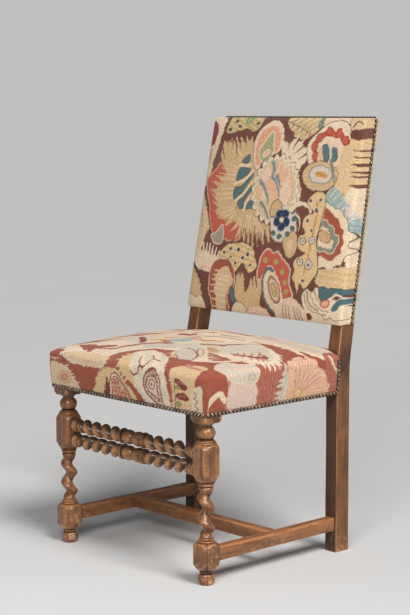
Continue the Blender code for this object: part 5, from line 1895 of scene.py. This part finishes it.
def seat_shape():
    """The stuffed seat, with a notch for each post, and its places on the cloth in millimetres.

    The top is a grid over the plan. Its outline goes down the walls to the hem, in by the cloth's
    thickness, and up inside to the level of the hessian.
    """
    look, cloth = settings().seat, settings().needlework.thickness
    over = CLEARANCE + cloth + seat_swell(1.0) * look.bulge
    half, front, back = HALF_WIDTH + over, FRONT - over, SEAT_HIGH[1]
    middle, reach = (front + back) / 2, (back - front) / 2
    inner = (HALF_WIDTH - settings().frame.post_width - CLEARANCE) / half
    notch = (POST_FACE - CLEARANCE - middle) / reach
    across = edge_lines(2 * half, look.cell, (-inner, inner))
    along = edge_lines(2 * reach, look.cell, (notch,))
    u, v = np.meshgrid(across, along)
    x, y = u * half, middle + v * reach
    for side in (-1, 1):
        x, y = rounded_corner(x, y, (side * half, front), (side, -1), look.corner)
    top = np.stack([x, y, seat_top(x, y, u, v)], -1)

    left, right = np.argmin(np.abs(across + inner)), np.argmin(np.abs(across - inner))
    row, last, end = np.argmin(np.abs(along - notch)), len(across) - 1, len(along) - 1
    index = np.arange(u.size).reshape(u.shape)
    loop = np.concatenate(
        [
            index[0, :], index[1:row, last], index[row, last:right:-1], index[row:end, right],
            index[end, right:left:-1], index[end:row:-1, left], index[row, left:0:-1], index[row:0:-1, 0],
        ]
    )
    skip = np.zeros((end, last), bool)
    skip[row:, :left] = True
    skip[row:, right:] = True

    plan, u_loop, v_loop = top.reshape(-1, 3)[loop], u.ravel()[loop], v.ravel()[loop]
    side = np.sign(u_loop)
    nought, one = np.zeros_like(side), np.ones_like(side)
    bend_x, bend_y = side * (half - look.corner), front + look.corner
    corner = (np.abs(plan[:, 0]) > half - look.corner + 1e-6) & (plan[:, 1] < bend_y - 1e-6)
    sides = np.abs(u_loop) > 1 - SAME
    rear, fore = v_loop > 1 - SAME, v_loop < -1 + SAME
    face = np.abs(v_loop - notch) < SAME
    cases = [corner, sides, rear, fore, face]
    normal_x = np.select(cases, [(plan[:, 0] - bend_x) / look.corner, side, nought, nought, nought], side)
    normal_y = np.select(cases, [(plan[:, 1] - bend_y) / look.corner, nought, one, -one, one], nought)
    normal = np.stack([normal_x, normal_y, nought], -1)
    outer = (sides | rear | fore | corner).astype(float)
    base = np.where(outer > 0, SEAT_LOW[2], HESSIAN_HIGH[2] + NOTCH_GAP)
    drop = np.linspace(0.0, 1.0, int((LEG_TOP + look.shoulder - SEAT_LOW[2]) / look.cell))[1:, None]
    swell = outer * ~rear * look.bulge * (seat_swell(1 - drop) - seat_swell(1.0))
    walls = plan[None] + swell[..., None] * normal[None]
    walls[..., 2] = plan[:, 2] + drop * (base - plan[:, 2])
    rim = walls[-1] - cloth * normal
    lining = rim.copy()
    lining[:, 2] = HESSIAN_HIGH[2] + CLEARANCE
    rings = np.concatenate([walls, rim[None], lining[None]])
    points, faces, used = shell(top, loop, rings, (0.0, middle, HESSIAN_HIGH[2] + CLEARANCE), skip)

    canvas = np.stack([u * half, (v + 1) * reach], -1).reshape(-1, 2) * 1000
    fall = np.abs(plan[:, 2] - rings[..., 2])[..., None] * normal[None, :, :2] * 1000
    canvas = np.concatenate([canvas, (canvas[loop][None] + fall).reshape(-1, 2), [[0.0, 0.0]]])
    return narrowed(points), faces, canvas[used]


def back_plan():
    """Half width, bottom, top and edge depth of the back panel before it leans."""
    over = CLEARANCE + settings().needlework.thickness
    return HALF_WIDTH + over, BACK_LOW[2], CHAIR_TOP, POST_FACE - BACK_EDGE


def panel_shape(half, low, high, edge, swell, ends, cell, corner, inset, lining, stops):
    """A padded panel that stands upright: a swollen face whose outline is wrapped round a frame.

    Depths are along Y. The face's outline goes from its edge to the ends, in by the inset, and to
    the lining. Swell gives the face's depth from its two parameters, and ends the depth that the
    wrap goes to from the outline's two parameters.
    """
    across = edge_lines(2 * half, cell, stops)
    up = edge_lines(high - low, cell, ())
    u, w = np.meshgrid(across, up)
    x, z = u * half, low + (w + 1) / 2 * (high - low)
    for side in (-1, 1):
        for end, level in ((-1, low), (1, high)):
            x, z = rounded_corner(x, z, (side * half, level), (side, end), corner)
    face = np.stack([x, swell(u, w), z], -1)
    index = np.arange(u.size).reshape(u.shape)
    loop = np.concatenate([index[0, :-1], index[:-1, -1], index[-1, :0:-1], index[:0:-1, 0]])
    plan, u_loop, w_loop = face.reshape(-1, 3)[loop], u.ravel()[loop], w.ravel()[loop]
    normal_x = np.clip((np.abs(plan[:, 0]) - (half - corner)) / corner, 0, 1) * np.sign(u_loop)
    middle = (low + high) / 2
    away = np.abs(plan[:, 2] - middle) - (middle - low - corner)
    normal_z = np.clip(away / corner, 0, 1) * np.sign(w_loop)
    normal = np.stack([normal_x, 0.0 * normal_x, normal_z], -1)
    normal /= np.linalg.norm(normal, axis=1, keepdims=True)
    goal = ends(u_loop, w_loop)
    share = np.linspace(0.0, 1.0, WRAP_STEPS)[1:, None]
    walls = np.repeat(plan[None], len(share), 0)
    walls[..., 1] = edge + share * (goal - edge)
    rim = walls[-1] - inset * normal
    inside = rim.copy()
    inside[:, 1] = lining
    rings = np.concatenate([walls, rim[None], inside[None]])
    points, faces, used = shell(face, loop, rings, (0.0, lining, middle))
    run = np.abs(rings[..., 1] - edge)[..., None] * np.stack([normal_x, normal_z], -1)[None]
    canvas = np.stack([x + half, z], -1).reshape(-1, 2)
    canvas = np.concatenate([canvas, (canvas[loop][None] + run).reshape(-1, 2), [[half, middle]]])
    return narrowed(leaned(points)), faces, canvas[used]


def back_shape():
    """The stuffed back, and its places on the cloth in millimetres from its top left corner."""
    look = settings().back
    half, low, high, edge = back_plan()
    inner = (HALF_WIDTH - settings().frame.post_width) / half

    def swell(u, w):
        roll = np.sqrt(np.clip((1 - np.abs(u) ** 12) * (1 - np.abs(w) ** 12), 0, 1))
        lumps = np.sin(u * 7 + 0.5) * np.sin(w * 6 + 1.7) + 0.6 * np.sin(u * 13 - w * 11)
        return edge - look.pad * roll - (look.crown + BACK_LUMPS * lumps) * (1 - u**2) * (1 - w**2)

    def ends(u, w):
        post = (w < -1 + SAME) & (np.abs(u) > inner) & (np.abs(u) < 1 - SAME)
        return np.where(post, POST_FACE - CLEARANCE, POST_FACE + look.wrap)

    cloth = settings().needlework.thickness
    lining = POST_FACE - BACK_LINING
    points, faces, canvas = panel_shape(
        half, low, high, edge, swell, ends, look.cell, BACK_CORNER, cloth, lining, (-inner, inner)
    )
    canvas[:, 1] = high - canvas[:, 1]
    return points, faces, canvas * np.array([BACK_CLOTH[0] / (2 * half), 1000.0])


def linen_shape():
    """The linen over the outside of the back: a low swollen face, wrapped forward to the nails."""
    look, sizes = settings().back, settings().frame
    half = HALF_WIDTH + CLEARANCE + LINEN
    low, high = OUTER_LOW[2] - LINEN_LAP, POST_TOP + CLEARANCE + LINEN
    rear = POST_FACE + sizes.post_depth
    edge = rear + LINEN_LAP

    def swell(u, w):
        roll = np.sqrt(np.clip((1 - np.abs(u) ** 20) * (1 - np.abs(w) ** 20), 0, 1))
        slack = np.sin(u * 9 + 1.0) * np.sin(w * 5) * 0.0005 + np.sin(u * 23 + w * 3) * 0.00015
        return edge + LINEN_PAD * roll + (LINEN_CROWN + slack) * (1 - u**2) * (1 - w**2)

    def ends(u, w):
        foot = (w < -1 + SAME) & (np.abs(u) < 1 - SAME)
        return np.where(foot, rear, POST_FACE + look.wrap) + CLEARANCE

    points, faces, _ = panel_shape(
        half, low, high, edge, swell, ends, LINEN_CELL, LINEN_CORNER, LINEN, rear + CLEARANCE, ()
    )
    return points, faces


def strip_shape(low, high, lift, axis, thickness):
    """A woven strip along one axis between two corners, whose middle rises and falls by the lift.

    It is a tube of flat rings: each ring is the strip's cross-section, a thin rounded rectangle.
    """
    outline = rounded_outline(high[1 - axis] - low[1 - axis], thickness, [thickness * 0.45] * 4)
    run = np.linspace(low[axis], high[axis], len(lift))
    rings = np.zeros((len(run), len(outline), 3))
    rings[..., axis] = run[:, None]
    rings[..., 1 - axis] = (low[1 - axis] + high[1 - axis]) / 2 + outline[None, :, 0]
    rings[..., 2] = (low[2] + high[2]) / 2 + lift[:, None] + outline[None, :, 1]
    return tube(rings)


def needlework(name, light):
    """Slanting stitches of wool: a bead to each stitch, painted lighter at its middle, rows of painted
    light and shade, uneven dye, dust.

    Light is painted light: it makes every wool paler or deeper by one factor.
    """
    finish = Finish(name)
    cloth = finish.node("ShaderNodeUVMap", {"uv_map": "cloth"})
    stitch = finish.node("ShaderNodeVectorMath", {"operation": "FLOOR"}, {0: cloth})
    dye = finish.node("ShaderNodeTexWhiteNoise", {"noise_dimensions": "2D"}, {"Vector": stitch})
    u, v = (finish.part(cloth, axis) for axis in "xy")
    wander = finish.noise(cloth, 0.21, 3.0, 0.7) * 3.0
    across, along = (u + wander).fraction(), (v + wander).fraction()
    bead = (across * math.pi).wave() * (along * math.pi).wave()
    slant = (1 - (across + along - 1).absolute()).most(0.0)
    strand = (bead * 0.7 + slant * 0.3) ** 0.6
    fuzz = finish.noise(finish.place(), 1400.0, 2.0, 0.7)
    fading = finish.noise(finish.place(), 14.0, 4.0, 0.6)
    streak = finish.noise(cloth, 0.5, 2.0, 0.6)
    rows = ((u * 0.2 + v + streak * 1.6) * 2.1).wave()
    # Painted light and shade: each stitch's bead lighter at its middle, rows of light and shade, and the
    # light factor; the dye and streaks are the wool's own
    shade = (0.42 + dye * 0.26 + streak * 0.48 + strand * 0.12 + rows * 0.03) * light
    colour = finish.scaled(finish.attribute("thread", "Color"), shade)
    colour = finish.blend(fading.step(0.42, 0.75) * 0.10, colour, (0.44, 0.34, 0.25))
    colour = finish.blend(finish.attribute("dust"), colour, (0.09, 0.06, 0.04))
    return finish.paint(
        Base_Color=colour,
        Roughness=0.86 + fuzz * 0.12,
        Normal=finish.bump(strand * 0.8 + rows * 0.2 + fuzz * 0.35, 0.0011, 0.75),
        Specular_IOR_Level=0.2,
        Sheen_Weight=0.12,
        Sheen_Roughness=0.5,
    )


def bronzed():
    """Nail heads of bronzed brass: dark round their rims, rubbed bright on top, where the bright top also
    stands for a painted highlight.
    """
    finish = Finish("bronzed_nails")
    tarnish = finish.noise(finish.place(), 600.0, 3.0, 0.6)
    bright = finish.attribute("rubbed") * 0.9 + finish.attribute("age") * 0.25 + tarnish * 0.3
    return finish.paint(
        Base_Color=finish.blend(bright.step(0.65, 1.35), (0.040, 0.028, 0.020), (0.50, 0.36, 0.26)),
        Metallic=0.85,
        Roughness=0.28 + tarnish * 0.2,
        Normal=finish.bump(tarnish, 0.0003, 0.4),
    )


def woven(name, pitch, light, dark, axes, contrast=0.5):
    """A plain weave on two axes: warp and weft threads pass over each other in turn, with slubs."""
    finish = Finish(name)
    warp, weft = ((finish.part(finish.place(), axis) * (math.pi / pitch)).wave() for axis in axes)
    over = (warp * weft * 3.0).step(-1.0, 1.0)
    thread = over * warp.absolute() + (1 - over) * weft.absolute()
    slub = finish.noise(finish.place(), 0.35 / pitch, 3.0, 0.7)
    stain = finish.noise(finish.place(), 9.0, 5.0, 0.65)
    colour = finish.blend((thread * contrast + slub * 0.7 - 0.1).step(0.0, 0.9), dark, light)
    colour = finish.blend(stain.step(0.52, 0.80) * 0.35, colour, dark)
    return finish.paint(
        Base_Color=colour,
        Roughness=0.84 + slub * 0.14,
        Normal=finish.bump(thread + slub * 0.5, pitch * 0.35, 0.7),
        Specular_IOR_Level=0.2,
        Sheen_Weight=0.1,
    )


def spaced(path, normals, pitch):
    """Points and normals at even steps of about one pitch along a line of points."""
    steps = np.linalg.norm(np.diff(path, axis=0), axis=1)
    run = np.concatenate([[0.0], np.cumsum(steps)])
    marks = np.linspace(0.0, run[-1], int(round(run[-1] / pitch)) + 1)
    places, facing = (
        np.stack([np.interp(marks, run, part[:, k]) for k in range(3)], -1) for part in (path, normals)
    )
    return places, facing / np.linalg.norm(facing, axis=1, keepdims=True)


def seat_nail_lines():
    """Nail lines of the seat: round its hem and up its sides' rear edges."""
    look, nails = settings().seat, settings().nails
    cloth = CLEARANCE + settings().needlework.thickness
    level = SEAT_LOW[2] + nails.inset
    share = nails.inset / (LEG_TOP + look.shoulder - SEAT_LOW[2])
    reach = cloth + look.bulge * seat_swell(share)
    half, front, radius = HALF_WIDTH + reach, FRONT - reach, look.corner
    rear = POST_FACE - CLEARANCE - nails.inset
    angle = np.linspace(0.0, math.pi / 2, 8)
    bend = np.stack([half - radius + radius * np.sin(angle), front + radius - radius * np.cos(angle)], -1)
    right = np.concatenate([[[0.0, front]], bend, [[half, rear]]])
    turn = np.stack([np.sin(angle), -np.cos(angle)], -1)
    facing = np.concatenate([[[0.0, -1.0]], turn, [[1.0, 0.0]]])
    plan = np.concatenate([right[::-1] * [-1, 1], right[1:]])
    normal = np.concatenate([facing[::-1] * [-1, 1], facing[1:]])
    heights = np.full((len(plan), 1), level)
    lines = [(np.concatenate([plan, heights], 1), np.concatenate([normal, 0 * heights], 1))]
    top = LEG_TOP + look.shoulder
    climb = np.linspace(level + nails.pitch, top - 0.004, 12)
    swell = HALF_WIDTH + cloth + look.bulge * seat_swell((climb - SEAT_LOW[2]) / (top - SEAT_LOW[2]))
    for _, side in SIDES:
        column = np.stack([side * swell, 0 * climb + rear, climb], -1)
        lines.append((column, np.tile([side, 0.0, 0.0], (len(climb), 1))))
    return [(narrowed(path), facing) for path, facing in lines]


def back_nail_lines():
    """Nail lines of the back: up both sides and along the top, behind the needlework's face."""
    look, nails = settings().back, settings().nails
    half, low, high, _ = back_plan()
    depth = POST_FACE + look.wrap - nails.inset
    lines = []
    up = np.linspace(low + 0.006, high - NAIL_MARGIN, 60)
    for _, side in SIDES:
        path = np.stack([0 * up + side * half, 0 * up + depth, up], -1)
        lines.append((narrowed(leaned(path)), np.tile([side, 0.0, 0.0], (len(up), 1))))
    across = np.linspace(-half + NAIL_MARGIN, half - NAIL_MARGIN, 60)
    path = np.stack([across, 0 * across + depth, 0 * across + high], -1)
    lines.append((narrowed(leaned(path)), np.tile([0.0, 0.0, 1.0], (len(across), 1))))
    return lines


def nail_heads(places, facing):
    """Low domed heads: rings of points from the cloth to the apex, on a frame of each nail's own.

    A head's radius is that of a sphere's cap, and each is tilted and sized a little by a seeded draw.
    """
    look = settings().nails
    draw = np.random.default_rng(NAIL_SEED)
    count = len(places)
    facing = facing + draw.normal(0.0, 0.05, (count, 3))
    facing /= np.linalg.norm(facing, axis=1, keepdims=True)
    aside = np.cross(facing, np.where(np.abs(facing[:, 2:]) > 0.7, [[1.0, 0.0, 0.0]], [[0.0, 0.0, 1.0]]))
    aside /= np.linalg.norm(aside, axis=1, keepdims=True)
    upper = np.cross(facing, aside)
    size = draw.normal(1.0, 0.03, (count, 1, 1))
    spokes = np.linspace(0.0, 2 * math.pi, NAIL_SPOKES, endpoint=False)[None, :, None]
    flat = np.cos(spokes) * aside[:, None] + np.sin(spokes) * upper[:, None]
    rise = look.dome * facing[:, None]
    rows = ((1.0, -0.2), (1.0, 0.12), (0.80, 0.62), (0.42, 0.93))
    rings = [places[:, None] + size * look.radius * width * flat + high * rise for width, high in rows]
    points = np.concatenate([*rings, places[:, None] + rise], 1)
    apex = len(rows) * NAIL_SPOKES
    each = np.arange(apex).reshape(len(rows), NAIL_SPOKES)
    quads = grid_faces(np.concatenate([each, each[:, :1]], 1))
    base, cap = each[:1, ::-1], fan_faces(each[-1][::-1], apex)
    step = (np.arange(count) * (apex + 1))[:, None, None]
    groups = [(group[None] + step).reshape(-1, group.shape[1]) for group in (quads, cap, base)]
    points = points.reshape(-1, 3)
    age = np.repeat(draw.uniform(0, 1, count), apex + 1)
    # Rubbed brass on top of each dome, which also paints its highlight
    rubbed = np.tile([*np.repeat([0.0, 0.0, 0.55, 1.0], NAIL_SPOKES), 1.0], count)
    return points, outward(points, groups), age, rubbed


def camera_pose():
    """Place of the camera and the turn of its axes, from its azimuth, elevation, distance and roll."""
    look = settings().stage
    turn, rise, roll = (math.radians(angle) for angle in (look.azimuth, look.elevation, CAMERA_ROLL))
    back = np.array([math.sin(turn) * math.cos(rise), -math.cos(turn) * math.cos(rise), math.sin(rise)])
    right = np.cross(-back, [0.0, 0.0, 1.0])
    right /= np.linalg.norm(right)
    up = np.cross(right, -back)
    level = right * math.cos(roll) + up * math.sin(roll)
    upright = up * math.cos(roll) - right * math.sin(roll)
    return np.array(LOOK_AT) + back * look.distance, np.stack([level, upright, back], -1)


def place_object(made, where, axes):
    """Sets an object's place and turn from a point and three axes."""
    matrix = np.eye(4)
    matrix[:3, :3] = axes
    matrix[:3, 3] = where
    made.matrix_world = mathutils.Matrix(matrix.tolist())
    bpy.context.scene.collection.objects.link(made)


def aim_light(lamp, where):
    """Puts a lamp at a point and turns it to the chair."""
    back = np.array(where) - np.array(LOOK_AT)
    back /= np.linalg.norm(back)
    right = np.cross([0.0, 0.0, 1.0], back)
    right /= np.linalg.norm(right)
    made = bpy.data.objects.new(lamp.name, lamp)
    place_object(made, where, np.stack([right, np.cross(back, right), back], -1))


class CHAIR_OT_legs(bpy.types.Operator):
    """Turn the two front legs"""

    bl_idname = "oak_chair.legs"
    bl_label = "Turned legs"

    def execute(self, context):
        for name, side in SIDES:
            rings, valley = leg_rings(side)
            # The twist's valleys are darkened by wax and painted shade
            add_oak(f"turned_leg_{name}", rings, oak("z"), [f"front_leg_{name}"], soot_and_shade=0.5 * valley)
        return {"FINISHED"}


class CHAIR_OT_twist_rails(bpy.types.Operator):
    """Turn the two twist stretchers between the legs"""

    bl_idname = "oak_chair.twist_rails"
    bl_label = "Twist stretchers"

    def execute(self, context):
        for name, hand in (("upper", -1), ("lower", 1)):
            low, high = corners(f"twist_stretcher_{name}")
            rings, valley = rope_rings((low[2] + high[2]) / 2, hand)
            # The whole rail is a little darker, its valleys darker by wax and painted shade, and its top by
            # painted shade of the seat
            soot_and_shade = 0.22 + 1.2 * valley
            add_oak(
                f"twist_rail_{name}", rings, oak("x"), [f"twist_stretcher_{name}"], broad=0.6, soot_and_shade=soot_and_shade
            )
        return {"FINISHED"}


class CHAIR_OT_posts(bpy.types.Operator):
    """Shape the two rear posts"""

    bl_idname = "oak_chair.posts"
    bl_label = "Rear posts"

    def execute(self, context):
        for name, side in SIDES:
            rings = post_rings(side)
            smudge = 0.6 + 0.4 * np.sin(rings[..., 1] * 150) * np.sin(rings[..., 2] * 170)
            soot_and_shade = 0.10 + 0.55 * smudge * np.exp(-(((rings[..., 2] - SEAT_JOINT) / 0.026) ** 2))
            # Painted shade: the posts' front faces below the seat are darker, where the seat shadows them
            soot_and_shade += 0.34 * ((rings[..., 1] < POST_FACE + 0.002) & (rings[..., 2] < SEAT_JOINT))
            add_oak(f"raked_post_{name}", rings, oak("z", dry=True), [f"rear_post_{name}"], soot_and_shade=soot_and_shade)
        return {"FINISHED"}


class CHAIR_OT_stretchers(bpy.types.Operator):
    """Shape the side stretchers and the cross stretcher"""

    bl_idname = "oak_chair.stretchers"
    bl_label = "Low stretchers"

    def execute(self, context):
        sizes = settings().frame
        level, height = (SIDE_LOW[2] + SIDE_HIGH[2]) / 2, SIDE_HIGH[2] - SIDE_LOW[2]
        across = HALF_WIDTH - STRETCHER_INSET - sizes.stretcher_width / 2
        fore, aft = FRONT + LEG_BLOCK - TUCK, POST_FACE + TUCK
        for name, side in SIDES:
            rings = stretcher_rings(
                (side * across, fore, level), (side * across, aft, level), height, 11 + side, 1
            )
            add_oak(f"side_rung_{name}", rings, oak("y", dry=True), [f"side_stretcher_{name}"])
        middle = (CROSS_LOW[1] + CROSS_HIGH[1]) / 2
        end = across - sizes.stretcher_width / 2 + TUCK
        rings = stretcher_rings((-end, middle, level), (end, middle, level), height, 21, 0)
        add_oak("cross_rung", rings, oak("x", dry=True), ["cross_stretcher"])
        return {"FINISHED"}


class CHAIR_OT_hidden_rails(bpy.types.Operator):
    """Give the rails under the upholstery their oak, and drive the pegs"""

    bl_idname = "oak_chair.hidden_rails"
    bl_label = "Rails and pegs"

    def execute(self, context):
        for node, made in frame["nodes"].items():
            if node.startswith(("seat_rail", "back_rail")):
                grain = "y" if node.endswith(("left", "right")) else "x"
                made.data.materials.clear()
                made.data.materials.append(oak(grain))
        nodes = sorted(node for node in frame["nodes"] if node.startswith("peg_"))
        points, faces = peg_rods(nodes)
        mesh = mesh_of("riven_pegs", points, faces)
        mesh.set_sharp_from_angle(angle=math.radians(30))
        add_piece("riven_pegs", mesh, oak("z"), nodes)
        return {"FINISHED"}


class CHAIR_OT_seat(bpy.types.Operator):
    """Stuff the seat and cover it in needlework"""

    bl_idname = "oak_chair.seat"
    bl_label = "Seat"

    def execute(self, context):
        points, faces, canvas = seat_shape()
        mesh = mesh_of("seat_pad", points, faces)
        carry(mesh, "thread", seat_needlework(canvas))
        hem = np.clip(1 - (points[:, 2] - SEAT_LOW[2]) / HEM_DUST, 0, 1)
        carry(mesh, "dust", 0.55 * hem)
        carry_uv(mesh, canvas / (settings().needlework.stitch * 1000))
        nodes = ["seat_cover", "seat_stuffing"]
        piece = add_piece("seat_pad", mesh, needlework("seat_wool", 1.0), nodes)
        return {"FINISHED"}


class CHAIR_OT_back(bpy.types.Operator):
    """Stuff the back and cover it in needlework"""

    bl_idname = "oak_chair.back"
    bl_label = "Back"

    def execute(self, context):
        points, faces, canvas = back_shape()
        mesh = mesh_of("back_pad", points, faces)
        carry(mesh, "thread", back_needlework(canvas))
        carry(mesh, "dust", np.zeros(len(points)))
        carry_uv(mesh, canvas / (settings().needlework.stitch * 1000))
        nodes = ["back_cover", "back_stuffing", "back_hessian"]
        # Painted light: the back's wool is painted 1.14 times lighter than the seat's
        piece = add_piece("back_pad", mesh, needlework("back_wool_painted_lighter", 1.14), nodes)
        return {"FINISHED"}


class CHAIR_OT_linen(bpy.types.Operator):
    """Cover the outside of the back in plain linen"""

    bl_idname = "oak_chair.linen"
    bl_label = "Outside-back linen"

    def execute(self, context):
        mesh = mesh_of("back_linen", *linen_shape())
        linen = woven("plain_linen", 0.0011, (0.60, 0.53, 0.41), (0.36, 0.30, 0.22), "xz")
        piece = add_piece("back_linen", mesh, linen, ["back_outer_cover"])
        return {"FINISHED"}


class CHAIR_OT_webbing(bpy.types.Operator):
    """Weave the seat webbing and lay the hessian on it"""

    bl_idname = "oak_chair.webbing"
    bl_label = "Webbing and hessian"

    def execute(self, context):
        longs = [corners(f"seat_web_long_{k + 1}") for k in range(4)]
        crosses = [corners(f"seat_web_cross_{k + 1}") for k in range(3)]
        for kind, webs, others, axis in (("long", longs, crosses, 1), ("cross", crosses, longs, 0)):
            jute = woven(f"jute_webbing_{kind}", 0.0021, (0.46, 0.35, 0.21), (0.20, 0.14, 0.08), "xy", 0.8)
            for k, (low, high) in enumerate(webs):
                run = np.linspace(low[axis], high[axis], WEB_STEPS)
                knots = [(other_low[axis] + other_high[axis]) / 2 for other_low, other_high in others]
                sign = 1 if kind == "long" else -1
                rises = [sign * (1 if (k + m) % 2 == 0 else -1) for m in range(len(knots))]
                ends = [low[axis], *knots, high[axis]]
                slope = np.interp(run, ends, [rises[0], *rises, rises[-1]])
                lift = np.sin(slope * math.pi / 2) * (high[2] - low[2] - WEB) / 2
                name = f"jute_web_{kind}_{k + 1}"
                mesh = mesh_of(name, *strip_shape(low, high, lift, axis, WEB))
                piece = add_piece(name, mesh, jute, [f"seat_web_{kind}_{k + 1}"])
                flat = (high[1 - axis] - low[1 - axis], high[axis] - low[axis])
        size = HESSIAN_HIGH - HESSIAN_LOW
        level = np.zeros(HESSIAN_STEPS)
        mesh = mesh_of("seat_canvas", *strip_shape(HESSIAN_LOW, HESSIAN_HIGH, level, 1, size[2]))
        hessian = woven("coarse_hessian", 0.0017, (0.50, 0.40, 0.26), (0.22, 0.16, 0.10), "xy", 0.8)
        piece = add_piece("seat_canvas", mesh, hessian, ["seat_hessian"])
        return {"FINISHED"}


class CHAIR_OT_nails(bpy.types.Operator):
    """Drive the dome-headed nails round the seat and the back"""

    bl_idname = "oak_chair.nails"
    bl_label = "Nails"

    def execute(self, context):
        lines = seat_nail_lines() + back_nail_lines()
        rows = [spaced(path, facing, settings().nails.pitch) for path, facing in lines]
        points, faces, age, rubbed = nail_heads(*(np.concatenate(part) for part in zip(*rows)))
        mesh = mesh_of("dome_nails", points, faces)
        carry(mesh, "age", age)
        # The rubbed top of each head is worn brass and also a painted highlight
        carry(mesh, "rubbed", rubbed)
        add_piece("dome_nails", mesh, bronzed())
        return {"FINISHED"}


class CHAIR_OT_stage(bpy.types.Operator):
    """Set the floor, the lights and the camera"""

    bl_idname = "oak_chair.stage"
    bl_label = "Stage"

    def execute(self, context):
        look = settings().stage
        scene = context.scene
        scene.view_settings.view_transform = "Standard"
        world = bpy.data.worlds.new("studio")
        world.use_nodes = True
        tree = world.node_tree
        air = tree.nodes["Background"]
        air.inputs["Color"].default_value = (0.95, 0.98, 1.0, 1.0)
        air.inputs["Strength"].default_value = look.sky
        backdrop = tree.nodes.new("ShaderNodeBackground")
        backdrop.inputs["Color"].default_value = (*look.backdrop, 1.0)
        path, either = tree.nodes.new("ShaderNodeLightPath"), tree.nodes.new("ShaderNodeMixShader")
        tree.links.new(path.outputs["Is Camera Ray"], either.inputs["Fac"])
        tree.links.new(air.outputs["Background"], either.inputs[1])
        tree.links.new(backdrop.outputs["Background"], either.inputs[2])
        tree.links.new(either.outputs["Shader"], tree.nodes["World Output"].inputs["Surface"])
        scene.world = world

        span = np.linspace(-FLOOR_SPAN, FLOOR_SPAN, 3)
        x, y = np.meshgrid(span, span)
        points = np.stack([x, y, 0 * x], -1).reshape(-1, 3)
        mesh = mesh_of("floor", points, [grid_faces(np.arange(9).reshape(3, 3))])
        finish = Finish("pale_floor")
        cloud = finish.noise(finish.place(), 1.7, 4.0, 0.6)
        grain = finish.noise(finish.place(), 160.0, 3.0, 0.6)
        colour = finish.scaled(look.floor, 0.95 + cloud * 0.06 + grain * 0.04)
        mesh.materials.append(finish.paint(Base_Color=colour, Roughness=0.9, Specular_IOR_Level=0.0))
        floor = bpy.data.objects.new("floor", mesh)
        scene.collection.objects.link(floor)

        key = bpy.data.lights.new("key_light", "SUN")
        key.energy, key.angle, key.color = look.key, KEY_SPREAD, (1.0, 0.97, 0.93)
        aim_light(key, KEY_PLACE)
        front = bpy.data.lights.new("front_light", "AREA")
        front.energy, front.size, front.color = look.front, FRONT_SIZE, (1.0, 0.98, 0.96)
        aim_light(front, FRONT_PLACE)

        lens = bpy.data.cameras.new("camera")
        lens.lens, lens.sensor_width = look.lens, SENSOR
        camera = bpy.data.objects.new("camera", lens)
        place_object(camera, *camera_pose())
        scene.camera = camera
        return {"FINISHED"}


OPERATORS = (
    CHAIR_OT_stage,
    CHAIR_OT_legs,
    CHAIR_OT_twist_rails,
    CHAIR_OT_posts,
    CHAIR_OT_stretchers,
    CHAIR_OT_hidden_rails,
    CHAIR_OT_webbing,
    CHAIR_OT_seat,
    CHAIR_OT_back,
    CHAIR_OT_linen,
    CHAIR_OT_nails,
)


class CHAIR_PT_panel(bpy.types.Panel):
    """The chair's pieces, each with its button"""

    bl_idname = "CHAIR_PT_panel"
    bl_label = "Oak side chair"
    bl_space_type = "VIEW_3D"
    bl_region_type = "UI"
    bl_category = "Oak chair"

    def draw(self, context):
        for operator in OPERATORS:
            self.layout.operator(operator.bl_idname)


CLASSES = (
    OakSettings,
    FrameSettings,
    TurningSettings,
    SeatSettings,
    BackSettings,
    NeedleworkSettings,
    NailSettings,
    StageSettings,
    ChairSettings,
    *OPERATORS,
    CHAIR_PT_panel,
)


def register():
    """Adds the chair's settings, operators and panel."""
    for made in CLASSES:
        bpy.utils.register_class(made)
    bpy.types.Scene.oak_side_chair = bpy.props.PointerProperty(type=ChairSettings)


def unregister():
    """Takes them away again."""
    del bpy.types.Scene.oak_side_chair
    for made in reversed(CLASSES):
        bpy.utils.unregister_class(made)


def main():
    """Makes the whole chair."""
    register()
    for operator in OPERATORS:
        group, name = operator.bl_idname.split(".")
        getattr(getattr(bpy.ops, group), name)()


if __name__ == "__main__":
    main()
